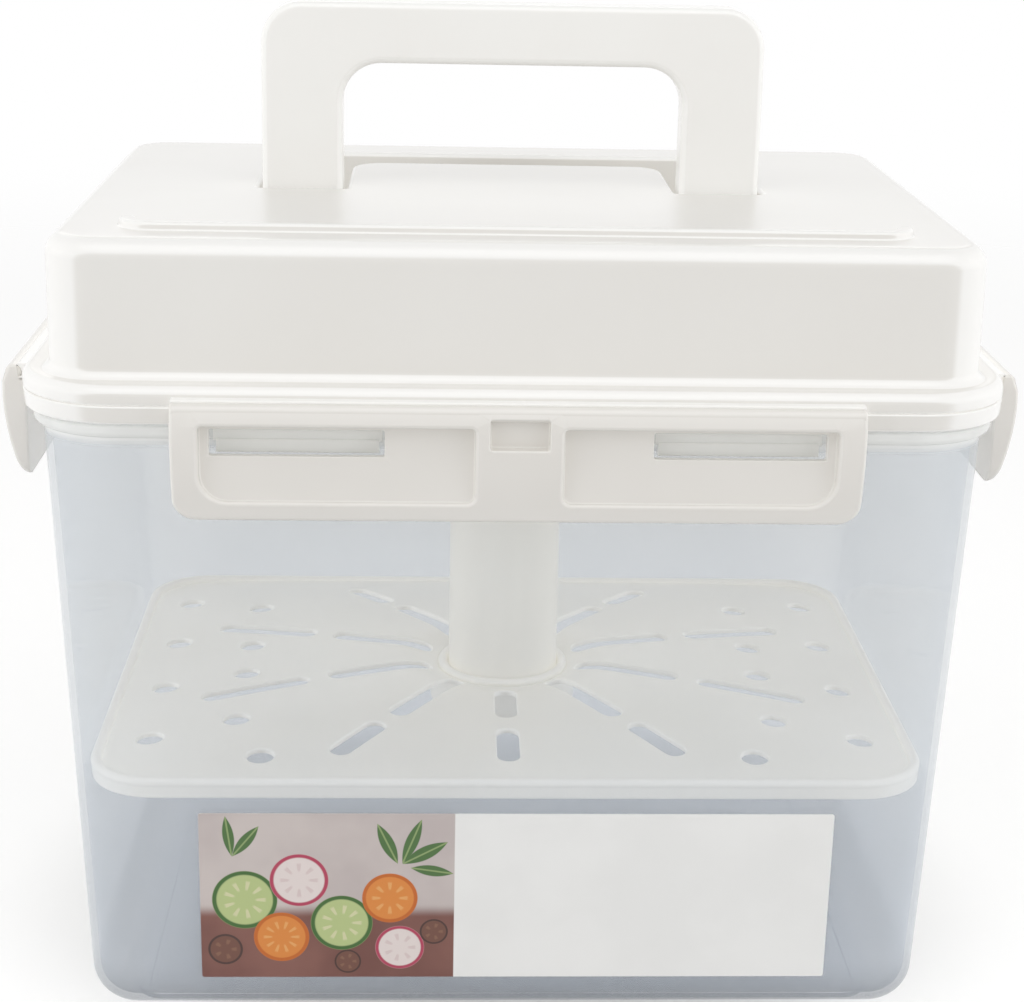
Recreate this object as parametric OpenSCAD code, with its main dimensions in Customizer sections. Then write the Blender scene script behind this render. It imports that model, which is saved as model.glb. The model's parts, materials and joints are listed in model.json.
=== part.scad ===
// Fermentation jar: a see-through tub, a tall lid with four latch flaps and a folding handle,
// and a slotted press plate that a spring pushes down from the lid on a telescoping column.
// X runs left to right, Y from front to back, Z up. The origin is the middle of the resting face.

/* [Tub] */
// Outside width of the tub at its rim
tub_w = 226; // [206:1:246]
// Outside depth of the tub at its rim
tub_d = 166; // [152:1:186]
// Height of the tub's rim above the surface it stands on
tub_h = 162; // [150:1:185]
// Corner radius of the tub at its rim
tub_corner = 20; // [19:0.5:24]
// How far each wall leans in from rim to floor
tub_lean = 8; // [6:0.5:8.5]
// Thickness of the tub's walls and floor
tub_wall = 1.8; // [1.4:0.1:2.4]
// Outside radius between walls and floor
floor_fillet = 10; // [8:0.5:10.5]
// Height of the ring that the tub stands on
foot_h = 1.5; // [1:0.1:2.5]
// Width of the ring that the tub stands on
foot_ring_w = 3; // [2:0.5:5]
// Outside corner radius of that ring
foot_corner = 7; // [6:0.5:12]
// How far the outward rim bead stands out from the wall
rim_out = 2; // [1.2:0.1:2.4]
// Thickness of the rim bead
rim_t = 3; // [2:0.1:4]
// Distance from the tub's rim down to the rim bead
rim_drop = 3.5; // [3:0.1:5]
// How far the catch ribs stand out from the wall
catch_out = 3.4; // [2.6:0.1:3.8]
// Height of the catch ribs
catch_h = 4.7; // [3.5:0.1:5.5]
// Gap between the ends of a catch rib and the window it lies behind
catch_end_gap = 0.6; // [0.3:0.1:1.5]

/* [Label] */
// Width of the paper label
label_w = 157; // [100:1:165]
// Height of the paper label
label_h = 46; // [30:1:60]
// Thickness of the paper label
label_t = 0.2; // [0.1:0.05:0.4]
// Height of the label's lower edge above the resting face
label_z = 12.5; // [12:0.5:30]
// How far the label sits to the right of the middle
label_shift = 2; // [-5:0.5:5]

/* [Lid] */
// Height of the lid's top above the tub's rim
lid_rise = 39; // [35:0.5:50]
// How far the lid's raised block is set in from the tub's rim
block_inset = 3.3; // [2.5:0.1:4.5]
// How far the block's walls lean in from bottom to top
block_lean = 0.7; // [0.3:0.1:1.5]
// Corner radius of the block at its foot
block_corner = 11.7; // [10:0.1:16]
// Rounding of the block's top edge
top_fillet = 4; // [2.5:0.1:5]
// Thickness of the lid's walls
lid_wall = 2.2; // [1.8:0.1:2.4]
// Thickness of the lid's top
lid_top_t = 2.4; // [2:0.1:3]
// How far the brim reaches out past the tub's rim
brim_out = 4.2; // [3.8:0.1:5.5]
// Thickness of the brim
brim_t = 3.6; // [3:0.1:4.5]
// Rounding between brim and block, and of the brim's upper edge
brim_fillet = 2.5; // [1.5:0.1:2.8]
// Height of the skirt that hangs below the brim
skirt_h = 5.4; // [4:0.1:6]
// Thickness of the skirt
skirt_t = 2; // [1.5:0.1:2.2]
// How far the skirt is set in from the brim's edge
skirt_step = 0.4; // [0.2:0.1:0.8]
// Depth of the lip that enters the tub
plug_h = 7.4; // [5:0.1:10]
// Thickness of the lip that enters the tub
plug_t = 1.8; // [1.4:0.1:2.2]
// Side gap between that lip and the tub's wall
plug_gap = 2.2; // [1.5:0.1:3]
// Height of the stacking ridge on the lid's top
ridge_h = 2; // [1:0.1:3]
// Width of the stacking ridge
ridge_w = 4; // [3:0.1:6]
// Distance of the stacking ridge from the block's front edge
ridge_inset = 11; // [8:0.5:14]
// Distance of the stacking ridge from the block's side edges
ridge_end_inset = 15; // [10:0.5:20]
// Outside corner radius of the stacking ridge
ridge_corner = 8; // [6.5:0.5:9]
// Length of the ridge's ends where they turn back
ridge_return = 9; // [6:0.5:14]

/* [Seal] */
// Height of the seal ring
seal_t = 2.85; // [2:0.05:4]
// Side clearance of the seal ring in its channel
seal_gap = 0.3; // [0.2:0.05:0.6]
// Gap between the seal and the tub's rim
seat_gap = 0.05; // [0.02:0.01:0.2]

/* [Latch flaps] */
// Length of the front and rear flaps along the hinge
long_flap_w = 159; // [120:1:165]
// Length of the side flaps along the hinge
short_flap_w = 114; // [80:1:120]
// Depth of the hinge lines below the brim's underside
hinge_sink = 0.9; // [0.6:0.05:1.2]
// Thickness of the ledge that carries a hinge bead
ledge_t = 4; // [3.6:0.1:4.4]
// Drop of that ledge's underside below the hinge line
ledge_drop = 1.8; // [1.5:0.1:2]
// Distance from the hinge line in to the ledge's tips
ledge_tip = 1; // [0.6:0.1:1.4]
// Drop of a flap from its hinge line to its tip
flap_drop = 26.5; // [22:0.5:32]
// Radius of the round hinge bead along a flap's top
hinge_r = 1.9; // [1.5:0.1:2.2]
// Gap round the hinge bead
hinge_gap = 0.3; // [0.2:0.05:0.5]
// How far the hinge line lies outside the brim's edge
hinge_out = 3.8; // [3.6:0.1:5]
// Depth of a flap from back to front
flap_t = 5.2; // [4.5:0.1:6]
// How far the flap's front bulges past the hinge line
flap_bulge = 2.2; // [2:0.1:2.6]
// Radius of the flap's curved front
flap_curve = 60; // [50:1:90]
// Drop from the hinge line to the flap's thickest place
bulge_drop = 6.5; // [5:0.1:8]
// Radius of a flap's lower corners
flap_corner = 5.5; // [3:0.1:8]
// Thickness of a flap's recessed panels
panel_t = 2.1; // [1.6:0.1:2.6]
// Width of the plain band at each end of a flap
end_band = 6.4; // [4:0.1:9]
// Half width of the plain band in a flap's middle
mid_band = 10.2; // [8.5:0.1:14]
// Distance from the hinge line down to the recessed panels
panel_top = 3.1; // [2.6:0.1:4]
// Height of the finger band below the recessed panels
finger_band = 5; // [4:0.1:7]
// Radius of a panel's lower corner at the flap's end
panel_corner = 6.5; // [4:0.1:8]
// Radius of a panel's lower corner beside the middle band
panel_mid_corner = 2; // [1:0.1:4]
// Length of each window in the front and rear flaps
long_window = 40; // [24:1:44]
// Length of each window in the side flaps
short_window = 25; // [14:1:30]
// Height of the windows
window_h = 6.3; // [5:0.1:8]
// Distance from the hinge line down to the windows
window_top = 4.4; // [4:0.1:5]
// Distance from the panel's outer end to the window
window_in = 2.2; // [1:0.1:5]
// Width of the small square pocket in a flap's middle
notch_w = 13.6; // [8:0.1:16]
// Height of that pocket
notch_h = 7; // [5:0.1:9]
// Depth of that pocket
notch_depth = 2.4; // [1:0.1:2.8]

/* [Handle] */
// Outside width of the handle
handle_w = 130.4; // [110:0.2:140]
// Height of the handle's top above the lid
handle_rise = 47.9; // [42:0.1:48]
// Thickness of the handle, front to back
handle_t = 11.6; // [9:0.1:12]
// Width of each leg
leg_w = 21; // [16:0.5:26]
// Height of the grip bar
grip_h = 15.6; // [13:0.1:20]
// Outside corner radius of the handle
handle_corner = 10.5; // [6:0.5:14]
// Inside corner radius of the handle
handle_inner_corner = 10; // [6:0.5:12]
// Depth of the pivot below the lid's top
pivot_drop = 7.8; // [7:0.1:9]
// Distance of the pivot behind the middle of the lid
pivot_y = 3.4; // [0:0.1:5]
// Diameter of the pivot studs
stud_d = 6; // [4:0.1:7]
// Length of the pivot studs
stud_len = 3.4; // [2.5:0.1:4]
// Clearance round the studs
stud_gap = 0.2; // [0.1:0.05:0.3]
// Clearance at the studs' ends
stud_end_gap = 0.4; // [0.2:0.1:0.8]
// Wall thickness of the bosses round the studs
boss_wall = 3; // [2:0.1:3.5]
// Thickness of the bosses' closed ends
boss_end_t = 1; // [0.8:0.1:2]
// Clearance between the handle and its recess
recess_gap = 1; // [0.6:0.1:1.5]
// Gap under the folded handle
recess_under = 0.6; // [0.3:0.1:1.5]
// Wall thickness of the recess tray
tray_wall = 2; // [1.6:0.1:2.6]

/* [Press] */
// Distance from the lid's top down to the lower edge of the press plate
press_hang = 140; // [125:1:145]
// Gap between the press plate and the tub's wall
plate_gap = 1.2; // [0.8:0.1:3]
// Corner radius of the press plate
plate_corner = 17; // [12:0.5:22]
// Thickness of the press plate
plate_t = 2.2; // [1.8:0.1:3]
// Height of the plate's crown above its lower edge
plate_rise = 9.6; // [8:0.1:11]
// Height of the barrel across the plate above the one along it
crest_step = 0.3; // [0.2:0.05:0.5]
// Height of the plate's edge
plate_edge = 3.8; // [3:0.1:5]
// Radius of the round bead along the plate's edge
plate_bead = 1.4; // [1:0.1:1.8]
// How far the bead stands out from the plate's edge
bead_proud = 0.3; // [0.2:0.05:0.5]
// Rounding of the plate's shoulder towards the collar
shoulder_r = 5; // [3:0.1:6]
// How far that rounding stands above the crown
shoulder_lift = 0.45; // [0.3:0.05:0.7]
// Outside diameter of the column
column_d = 30; // [26:0.2:34]
// Wall thickness of the column
column_wall = 2; // [1.6:0.1:2.2]
// Clearance of column, bush and guide tube in the sockets that hold them
collar_gap = 0.2; // [0.1:0.05:0.3]
// Wall thickness of the collar
collar_wall = 2.6; // [2.2:0.1:3]
// Depth of the collar below the plate's lower edge
collar_drop = 3; // [2.5:0.1:5]
// Depth of the collar's bead below the crown
collar_dip = 2.8; // [2:0.1:3.5]
// Thickness of the collar's lip that the column stands on
seat_t = 2; // [1.5:0.1:2.4]
// How far the press can be pushed up
press_travel = 35; // [25:1:36]
// Outside diameter of the guide tube
guide_d = 20; // [18:0.2:21]
// Wall thickness of the guide tube
guide_wall = 2; // [1.5:0.1:2.2]
// Thickness of the stop flange at the guide tube's end
stop_t = 3.5; // [2.5:0.1:5]
// Running clearance of guide tube, bush and stop flange
guide_gap = 0.3; // [0.2:0.05:0.4]
// Length of the bush inside the column
bush_len = 23; // [15:0.5:26]
// Thickness of the bush's collar on top of the column
bush_collar_t = 3; // [2:0.1:4]
// Length of the lid's socket for the guide tube
socket_len = 8.6; // [6:0.1:12]
// Wall thickness of that socket
socket_wall = 2.4; // [1.8:0.1:3]
// Room left between bush and socket when the press is right up
travel_spare = 2; // [1:0.1:4]
// Wire diameter of the press spring
wire_d = 1.2; // [1:0.1:1.6]
// Gap between the press spring and the guide tube
spring_side_gap = 0.8; // [0.5:0.1:1.5]
// Turns of the press spring
spring_turns = 14; // [8:1:18]

/* [Drain slots and holes] */
// Directions that the slots point in, evenly spread from the front
slot_directions = 10; // [8:2:12]
// Width of the slots
slot_w = 5.8; // [4:0.1:7]
// Distance from the plate's shoulder to the inner slots
slot_start = 0.8; // [0.5:0.1:3]
// Further distance to the inner slots at front and back
front_slot_start = 5; // [3:0.1:7]
// Radius at which the inner slots end
slot_break = 50; // [46:0.5:51]
// Radius at which the outer slots begin
slot_resume = 55.5; // [54:0.5:58]
// Radius at which the inner slots at front and back end
front_slot_break = 42; // [38:0.5:44]
// Radius at which the outer slots at front and back begin
front_slot_resume = 48; // [46:0.5:50]
// Distance from the plate's front and back edges to the slots there
front_slot_margin = 11; // [8:0.5:12]
// Distance from the plate's end edges to the radius where the slots that point there end
end_slot_margin = 20; // [16:0.5:26]
// Diameter of the holes
hole_d = 7; // [5:0.1:8]
// Distance from the plate's end edges to the outer rows of holes
outer_hole_margin = 13.3; // [10:0.1:16]
// Spacing of the holes in the outer rows
outer_hole_pitch = 33; // [28:0.5:36]
// Distance from the plate's end edges to the inner rows of holes
inner_hole_margin = 34.7; // [32:0.1:37]
// Distance from the middle line to the near holes of the inner rows
near_hole_y = 10.3; // [8:0.1:12]
// Distance from the middle line to the far holes of the inner rows
far_hole_y = 41.2; // [38:0.1:46]
// Distance from the middle to the holes near the front corners
corner_hole_x = 62.5; // [58:0.5:68]
// Distance from the plate's front edge to those holes
corner_hole_margin = 13.5; // [11:0.1:16]

/* [Hidden] */
$fn = 64;
big_fn = 360;
// Overlap of shapes that are fused within one piece, and overrun of shapes that cut
overlap = 0.5;
overrun = 1;
// Least rounding inside the lid's block
least_fillet = 1;

// Heights
lid_z = tub_h + seat_gap + seal_t;
lid_top = tub_h + lid_rise;
lid_under = lid_top - lid_top_t;
brim_top = lid_z + brim_t;
rim_top = tub_h - rim_drop;
hinge_z = lid_z - hinge_sink;
pivot_z = lid_top - pivot_drop;
plate_z = lid_top - press_hang;
crown_z = plate_z + plate_rise;
column_z = plate_z - collar_drop + seat_t;
socket_z = lid_under - socket_len;
column_top = socket_z - travel_spare - press_travel - bush_collar_t;
column_len = column_top - column_z;
stop_top = column_top - bush_len - guide_gap;

// Corner axes of tub, block and plate, as half distances from the middle
tub_ax = tub_w / 2 - tub_corner;
tub_ay = tub_d / 2 - tub_corner;
block_hw = tub_w / 2 - block_inset;
block_hd = tub_d / 2 - block_inset;
block_ax = block_hw - block_corner;
block_ay = block_hd - block_corner;
lean_per_mm = tub_lean / (tub_h - foot_h);
lean_angle = atan(lean_per_mm);
plate_set_in = (tub_h - plate_z) * lean_per_mm + tub_wall / cos(lean_angle) + plate_gap;
plate_hw = tub_w / 2 - plate_set_in;
plate_hd = tub_d / 2 - plate_set_in;
plate_ax = plate_hw - plate_corner;
plate_ay = plate_hd - plate_corner;

// Brim, skirt and lip, as distances from the tub's corner axis
brim_r = tub_corner + brim_out;
skirt_r = brim_r - skirt_step;
plug_r = tub_corner - tub_wall - plug_gap;

// Hinge lines of the long and the short flaps
long_hinge = tub_d / 2 + brim_out + hinge_out;
short_hinge = tub_w / 2 + brim_out + hinge_out;

// Press parts
column_r = column_d / 2;
collar_r = column_r + collar_gap;
collar_out = collar_r + collar_wall;
shoulder_out = collar_out + plate_t;
collar_bead_z = crown_z - collar_dip;
guide_r = guide_d / 2;
column_bore = column_r - column_wall;
spring_r = guide_r - guide_wall - spring_side_gap - wire_d / 2;
plate_drop = plate_rise - plate_edge;

// Press spring: sides of its wire, and rings of points along it
wire_sides = 6;
rings_per_turn = 8;
spring_rings = spring_turns * rings_per_turn;
spring_z = column_z + column_wall;
spring_rise = lid_under - spring_z - wire_d;

// Recess of the handle in the lid's top
handle_hw = handle_w / 2;
opening_hw = handle_hw - leg_w;
fold_reach = handle_rise + pivot_drop;
recess_floor = pivot_z - handle_t / 2 - recess_under;
recess_front = pivot_y - handle_t / 2 - recess_gap;
recess_back = pivot_y + fold_reach + recess_gap;
island_back = pivot_y + fold_reach - grip_h - recess_gap;

// Shared shapes

// A profile carried round a rounded rectangle. The profile's x runs outward from the corner axis.
module around(ax, ay) {
    for (i = [0:3]) {
        out = i % 2 == 0 ? ax : ay;
        run = i % 2 == 0 ? ay : ax;
        rotate(90 * i)
            translate([out, run, 0]) {
                rotate([90, 0, 0])
                    linear_extrude(2 * run)
                        children();
                rotate_extrude(angle = 90)
                    children();
            }
    }
}

// The flat middle between the four corner axes
module middle(ax, ay, z, t) {
    translate([-ax, -ay, z])
        cube([2 * ax, 2 * ay, t]);
}

// Rounded rectangle from its half sizes
module round_rect(hw, hd, r) {
    square([2 * (hw - r), 2 * hd], center = true);
    square([2 * hw, 2 * (hd - r)], center = true);
    for (sx = [-1, 1], sy = [-1, 1])
        translate([sx * (hw - r), sy * (hd - r)])
            circle(r);
}

// Concave corner between the two axes
module cove(r) {
    difference() {
        translate([-overlap, -overlap])
            square(r + overlap);
        translate([r, r])
            circle(r);
    }
}

// Flat ring
module tube(r_out, r_in, z, h) {
    translate([0, 0, z])
        difference() {
            cylinder(r = r_out, h = h);
            translate([0, 0, -overrun])
                cylinder(r = r_in, h = h + 2 * overrun);
        }
}

// Rounded slot along +X from r0 to r1
module slot_outline(r0, r1, w) {
    translate([r0 + w / 2, -w / 2])
        square([r1 - r0 - w, w]);
    for (r = [r0 + w / 2, r1 - w / 2])
        translate([r, 0])
            circle(d = w);
}

// Tub

// Section of the tub set in by the wall, with its floor corner rounded
module tub_section(inset, top) {
    z0 = foot_h + inset;
    r = floor_fillet - inset;
    zc = z0 + r;
    wall_x = tub_corner - (tub_h - zc) * lean_per_mm - inset / cos(lean_angle);
    xc = wall_x - r / cos(lean_angle);
    top_x = tub_corner + (top - tub_h) * lean_per_mm - inset / cos(lean_angle);
    intersection() {
        union() {
            polygon([
                [0, z0], [xc, z0], [xc, zc],
                [xc + r * cos(lean_angle), zc - r * sin(lean_angle)],
                [top_x, top], [0, top]
            ]);
            translate([xc, zc])
                circle(r);
        }
        translate([0, z0])
            square([2 * tub_corner, top]);
    }
}

module tub_wall_section() {
    difference() {
        tub_section(0, tub_h);
        tub_section(tub_wall, tub_h + overrun);
    }
    wall_mid = tub_corner - tub_wall / 2 - rim_drop * lean_per_mm;
    difference() {
        translate([wall_mid, rim_top - rim_t])
            square([tub_corner + rim_out - wall_mid, rim_t]);
        translate([tub_corner + rim_out, rim_top - rim_t])
            mirror([1, 0])
                cove(rim_t / 2);
    }
}

// Two ribs on one side, where the windows of a flap come down over them
module catches(half, flap_w, window_w) {
    rib_w = window_w - 2 * catch_end_gap;
    rib_x = flap_w / 2 - end_band - window_in - window_w / 2;
    wall = half - tub_wall / 2 - (rim_drop + catch_h) * lean_per_mm;
    for (s = [-1, 1])
        translate([s * rib_x, -(wall + half + catch_out) / 2, rim_top - catch_h / 2])
            cube([rib_w, half + catch_out - wall, catch_h], center = true);
}

module tub() {
    foot_hw = tub_w / 2 - tub_lean - floor_fillet;
    foot_hd = tub_d / 2 - tub_lean - floor_fillet;
    color([0.80, 0.84, 0.88, 0.45]) {
        around(tub_ax, tub_ay)
            tub_wall_section();
        middle(tub_ax, tub_ay, foot_h, tub_wall);
        linear_extrude(foot_h + tub_wall / 2)
            difference() {
                round_rect(foot_hw, foot_hd, foot_corner);
                round_rect(foot_hw - foot_ring_w, foot_hd - foot_ring_w, foot_corner - foot_ring_w);
            }
        for (a = [0, 180]) {
            rotate(a)
                catches(tub_d / 2, long_flap_w, long_window);
            rotate(a + 90)
                catches(tub_w / 2, short_flap_w, short_window);
        }
    }
}

// Paper label stuck flat on the leaning front wall
module front_label() {
    mid_z = label_z + label_h / 2;
    wall_y = tub_d / 2 - (tub_h - mid_z) * lean_per_mm;
    color("ghostwhite")
        translate([label_shift, -wall_y, mid_z])
            rotate([lean_angle, 0, 0])
                translate([-label_w / 2, -label_t, -label_h / 2])
                    cube([label_w, label_t, label_h]);
}

// Lid

module block_section(inset, z0, top) {
    r = max(top_fillet - inset, least_fillet);
    foot_x = block_corner - inset;
    top_x = foot_x - block_lean;
    intersection() {
        union() {
            polygon([[0, z0], [foot_x, z0], [top_x, top - r], [top_x - r, top], [0, top]]);
            translate([top_x - r, top - r])
                circle(r);
        }
        translate([0, z0])
            square([2 * block_corner, top - z0]);
    }
}

module block_shell_section() {
    foot_x = block_corner - block_lean * (brim_t / 2) / (lid_top - top_fillet - brim_top + brim_t / 2);
    difference() {
        union() {
            block_section(0, brim_top - brim_t / 2, lid_top);
            translate([foot_x, brim_top])
                cove(brim_fillet);
        }
        block_section(lid_wall, lid_z - overrun, lid_under);
    }
}

// Brim with skirt and entering lip, outward from the tub's corner axis
module brim_section() {
    inner = plug_r - plug_t;
    difference() {
        translate([inner, lid_z])
            square([brim_r - inner, brim_t]);
        translate([brim_r, brim_top])
            rotate(180)
                cove(brim_fillet);
    }
    translate([skirt_r - skirt_t, lid_z - skirt_h])
        square([skirt_t, skirt_h + brim_t / 2]);
    translate([inner, lid_z - plug_h])
        square([plug_t, plug_h + brim_t / 2]);
}

// Ledge along one side of the brim that carries a flap's hinge bead in a hollow groove
module hinge_ledge(half, w) {
    axis = half + brim_out + hinge_out;
    difference() {
        translate([-w / 2, ledge_tip - axis, hinge_z - ledge_drop])
            cube([w, hinge_out - ledge_tip + brim_out / 2, ledge_t]);
        translate([-w / 2 - overrun, -axis, hinge_z])
            rotate([0, 90, 0])
                cylinder(r = hinge_r + hinge_gap, h = w + 2 * overrun);
    }
}

module recess_outline(grow) {
    hw = handle_hw + recess_gap + grow;
    iw = opening_hw - recess_gap - grow;
    front = recess_front - grow;
    back = recess_back + grow;
    r = handle_corner + recess_gap + grow;
    ri = handle_inner_corner - recess_gap - grow;
    island_end = island_back - grow;
    difference() {
        union() {
            translate([-hw, front])
                square([2 * hw, back - front - r]);
            translate([-hw + r, front])
                square([2 * (hw - r), back - front]);
            for (s = [-1, 1])
                translate([s * (hw - r), back - r])
                    circle(r);
        }
        translate([-iw, front - overrun])
            square([2 * iw, island_end - ri - front + overrun]);
        translate([-iw + ri, front - overrun])
            square([2 * (iw - ri), island_end - front + overrun]);
        for (s = [-1, 1])
            translate([s * (iw - ri), island_end - ri])
                circle(ri);
    }
}

module stacking_ridge() {
    hw = block_hw - block_lean - ridge_end_inset;
    hd = block_hd - block_lean - ridge_inset;
    translate([0, 0, lid_top - overlap])
        linear_extrude(ridge_h + overlap)
            intersection() {
                difference() {
                    round_rect(hw, hd, ridge_corner);
                    round_rect(hw - ridge_w, hd - ridge_w, ridge_corner - ridge_w);
                }
                translate([-hw, -hd])
                    square([2 * hw, ridge_return]);
            }
}

module lid() {
    boss_r = stud_d / 2 + boss_wall;
    bore_end = handle_hw + stud_len + stud_end_gap;
    boss_end = bore_end + boss_end_t;
    boss_start = handle_hw + recess_gap + tray_wall / 2;
    socket_r = guide_r + collar_gap;
    color("white")
        difference() {
            union() {
                around(block_ax, block_ay)
                    block_shell_section();
                middle(block_ax, block_ay, lid_under, lid_top_t);
                around(tub_ax, tub_ay)
                    brim_section();
                for (a = [0, 180]) {
                    rotate(a)
                        hinge_ledge(tub_d / 2, long_flap_w);
                    rotate(a + 90)
                        hinge_ledge(tub_w / 2, short_flap_w);
                }
                translate([0, 0, recess_floor - tray_wall])
                    linear_extrude(lid_top - lid_top_t / 2 - recess_floor + tray_wall)
                        recess_outline(tray_wall);
                for (s = [-1, 1])
                    translate([s * boss_end, pivot_y, pivot_z])
                        rotate([0, -90 * s, 0])
                            cylinder(r = boss_r, h = boss_end - boss_start);
                tube(socket_r + socket_wall, socket_r, socket_z, socket_len + overlap);
                stacking_ridge();
            }
            translate([0, 0, recess_floor])
                linear_extrude(lid_top)
                    recess_outline(0);
            for (s = [-1, 1])
                translate([s * bore_end, pivot_y, pivot_z])
                    rotate([0, -90 * s, 0])
                        cylinder(d = stud_d + 2 * stud_gap, h = bore_end - handle_hw);
        }
}

// Silicone ring in the channel under the brim
module lid_seal() {
    r0 = plug_r + seal_gap;
    r1 = skirt_r - skirt_t - seal_gap;
    color("gainsboro")
        around(tub_ax, tub_ay)
            translate([r0, lid_z - seal_t])
                square([r1 - r0, seal_t]);
}

// Latch flaps

// Side view of a flap: x runs inward from the hinge line, y upward
module flap_section() {
    circle(hinge_r);
    difference() {
        intersection() {
            translate([-flap_bulge, -flap_drop])
                square([flap_t, flap_drop]);
            translate([flap_curve - flap_bulge, -bulge_drop])
                circle(flap_curve, $fn = big_fn);
        }
        translate([hinge_r / 2, -hinge_r - hinge_gap])
            square([flap_t, flap_drop]);
    }
}

// Front view of a flap with rounded lower corners
module flap_outline(w) {
    r = flap_corner;
    translate([-w / 2, r - flap_drop])
        square([w, flap_drop - r + hinge_r + overrun]);
    translate([r - w / 2, -flap_drop])
        square([w - 2 * r, flap_drop]);
    for (s = [-1, 1])
        translate([s * (w / 2 - r), r - flap_drop])
            circle(r);
}

// Recessed panel: square at the top, with a wide lower corner at the flap's end and a narrow one inside
module panel_outline(w, h) {
    translate([0, panel_corner])
        square([w, h - panel_corner]);
    translate([0, panel_mid_corner])
        square([w - panel_corner, h - panel_mid_corner]);
    translate([panel_mid_corner, 0])
        square([w - panel_corner - panel_mid_corner, h]);
    translate([w - panel_corner, panel_corner])
        circle(panel_corner);
    translate([panel_mid_corner, panel_mid_corner])
        circle(panel_mid_corner);
}

module flap(w, window_w) {
    panel_w = w / 2 - end_band - mid_band;
    panel_h = flap_drop - panel_top - finger_band;
    floor_y = flap_t - flap_bulge - panel_t;
    color("white")
        difference() {
            intersection() {
                translate([-w / 2, 0, 0])
                    rotate([90, 0, 90])
                        linear_extrude(w)
                            flap_section();
                translate([0, flap_t, 0])
                    rotate([90, 0, 0])
                        linear_extrude(2 * flap_t)
                            flap_outline(w);
            }
            for (s = [-1, 1]) {
                mirror([s < 0 ? 1 : 0, 0, 0])
                    translate([mid_band, floor_y, -panel_top - panel_h])
                        rotate([90, 0, 0])
                            linear_extrude(flap_t)
                                panel_outline(panel_w, panel_h);
                translate([s * (w / 2 - end_band - window_in - window_w / 2), 0, -window_top - window_h / 2])
                    cube([window_w, 2 * flap_t, window_h], center = true);
            }
            translate([-notch_w / 2, -flap_bulge - overrun, -notch_h - hinge_r / 2])
                cube([notch_w, notch_depth + overrun, notch_h]);
        }
}

module front_flap() {
    translate([0, -long_hinge, hinge_z])
        flap(long_flap_w, long_window);
}

module rear_flap() {
    rotate(180)
        front_flap();
}

module left_flap() {
    rotate(-90)
        translate([0, -short_hinge, hinge_z])
            flap(short_flap_w, short_window);
}

module right_flap() {
    rotate(180)
        left_flap();
}

// Handle

module handle_outline() {
    top = fold_reach;
    inner_top = top - grip_h;
    r = handle_corner;
    ri = handle_inner_corner;
    difference() {
        union() {
            translate([-handle_hw, 0])
                square([handle_w, top - r]);
            translate([-handle_hw + r, 0])
                square([handle_w - 2 * r, top]);
            for (s = [-1, 1])
                translate([s * (handle_hw - r), top - r])
                    circle(r);
        }
        translate([-opening_hw, -overrun])
            square([2 * opening_hw, inner_top - ri + overrun]);
        translate([-opening_hw + ri, -overrun])
            square([2 * (opening_hw - ri), inner_top + overrun]);
        for (s = [-1, 1])
            translate([s * (opening_hw - ri), inner_top - ri])
                circle(ri);
    }
}

module carry_handle() {
    color("white")
        translate([0, pivot_y, pivot_z]) {
            translate([0, handle_t / 2, 0])
                rotate([90, 0, 0])
                    linear_extrude(handle_t)
                        handle_outline();
            for (s = [-1, 1])
                translate([s * handle_hw, 0, 0])
                    rotate([0, -90 * s, 0]) {
                        cylinder(d = handle_t, h = leg_w);
                        translate([0, 0, -stud_len])
                            cylinder(d = stud_d, h = stud_len + overlap);
                    }
        }
}

// Press

// Crowned solid below the plate's upper face, lowered by drop
module crown(drop) {
    across = pow(plate_hw, 2) / (2 * plate_drop);
    along = pow(plate_hd, 2) / (2 * plate_drop);
    intersection() {
        translate([0, tub_d, crown_z - drop - across])
            rotate([90, 0, 0])
                cylinder(r = across, h = 2 * tub_d, $fn = big_fn);
        translate([-tub_w, 0, crown_z + crest_step - drop - along])
            rotate([0, 90, 0])
                cylinder(r = along, h = 2 * tub_w, $fn = big_fn);
    }
}

module plate_prism(inset, z, h) {
    translate([0, 0, z])
        linear_extrude(h)
            round_rect(plate_hw - inset, plate_hd - inset, plate_corner - inset);
}

// Drain slots: one inner and one outer slot in each direction, shorter towards front and back
module drain_slots() {
    inner = shoulder_out + slot_start;
    half_turn = slot_directions / 2;
    for (i = [0:slot_directions - 1]) {
        step = i % half_turn;
        ahead = step == 0;
        endways = step == floor(half_turn / 2) || step == ceil(half_turn / 2);
        reach = ahead ? plate_hd - front_slot_margin : endways ? plate_hw - end_slot_margin : plate_hd;
        rotate(360 * i / slot_directions - 90)
            if (ahead) {
                slot_outline(inner + front_slot_start, front_slot_break, slot_w);
                slot_outline(front_slot_resume, reach, slot_w);
            } else {
                slot_outline(inner, slot_break, slot_w);
                slot_outline(slot_resume, reach, slot_w);
            }
    }
}

// Drain holes: two columns of four near each end, and one near each front corner
module drain_holes() {
    for (s = [-1, 1]) {
        for (row = [-1.5:1:1.5])
            translate([s * (plate_hw - outer_hole_margin), outer_hole_pitch * row])
                circle(d = hole_d);
        for (row = [-far_hole_y, -near_hole_y, near_hole_y, far_hole_y])
            translate([s * (plate_hw - inner_hole_margin), row])
                circle(d = hole_d);
        translate([s * corner_hole_x, corner_hole_margin - plate_hd])
            circle(d = hole_d);
    }
}

// Groove round the collar, with the plate's shoulder rounded down into it
module shoulder_cut() {
    rotate_extrude()
        difference() {
            translate([collar_r - overrun, collar_bead_z])
                square([collar_wall + overrun + shoulder_r, plate_rise]);
            translate([collar_out + shoulder_r, crown_z - shoulder_r + shoulder_lift])
                circle(shoulder_r);
        }
}

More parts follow.
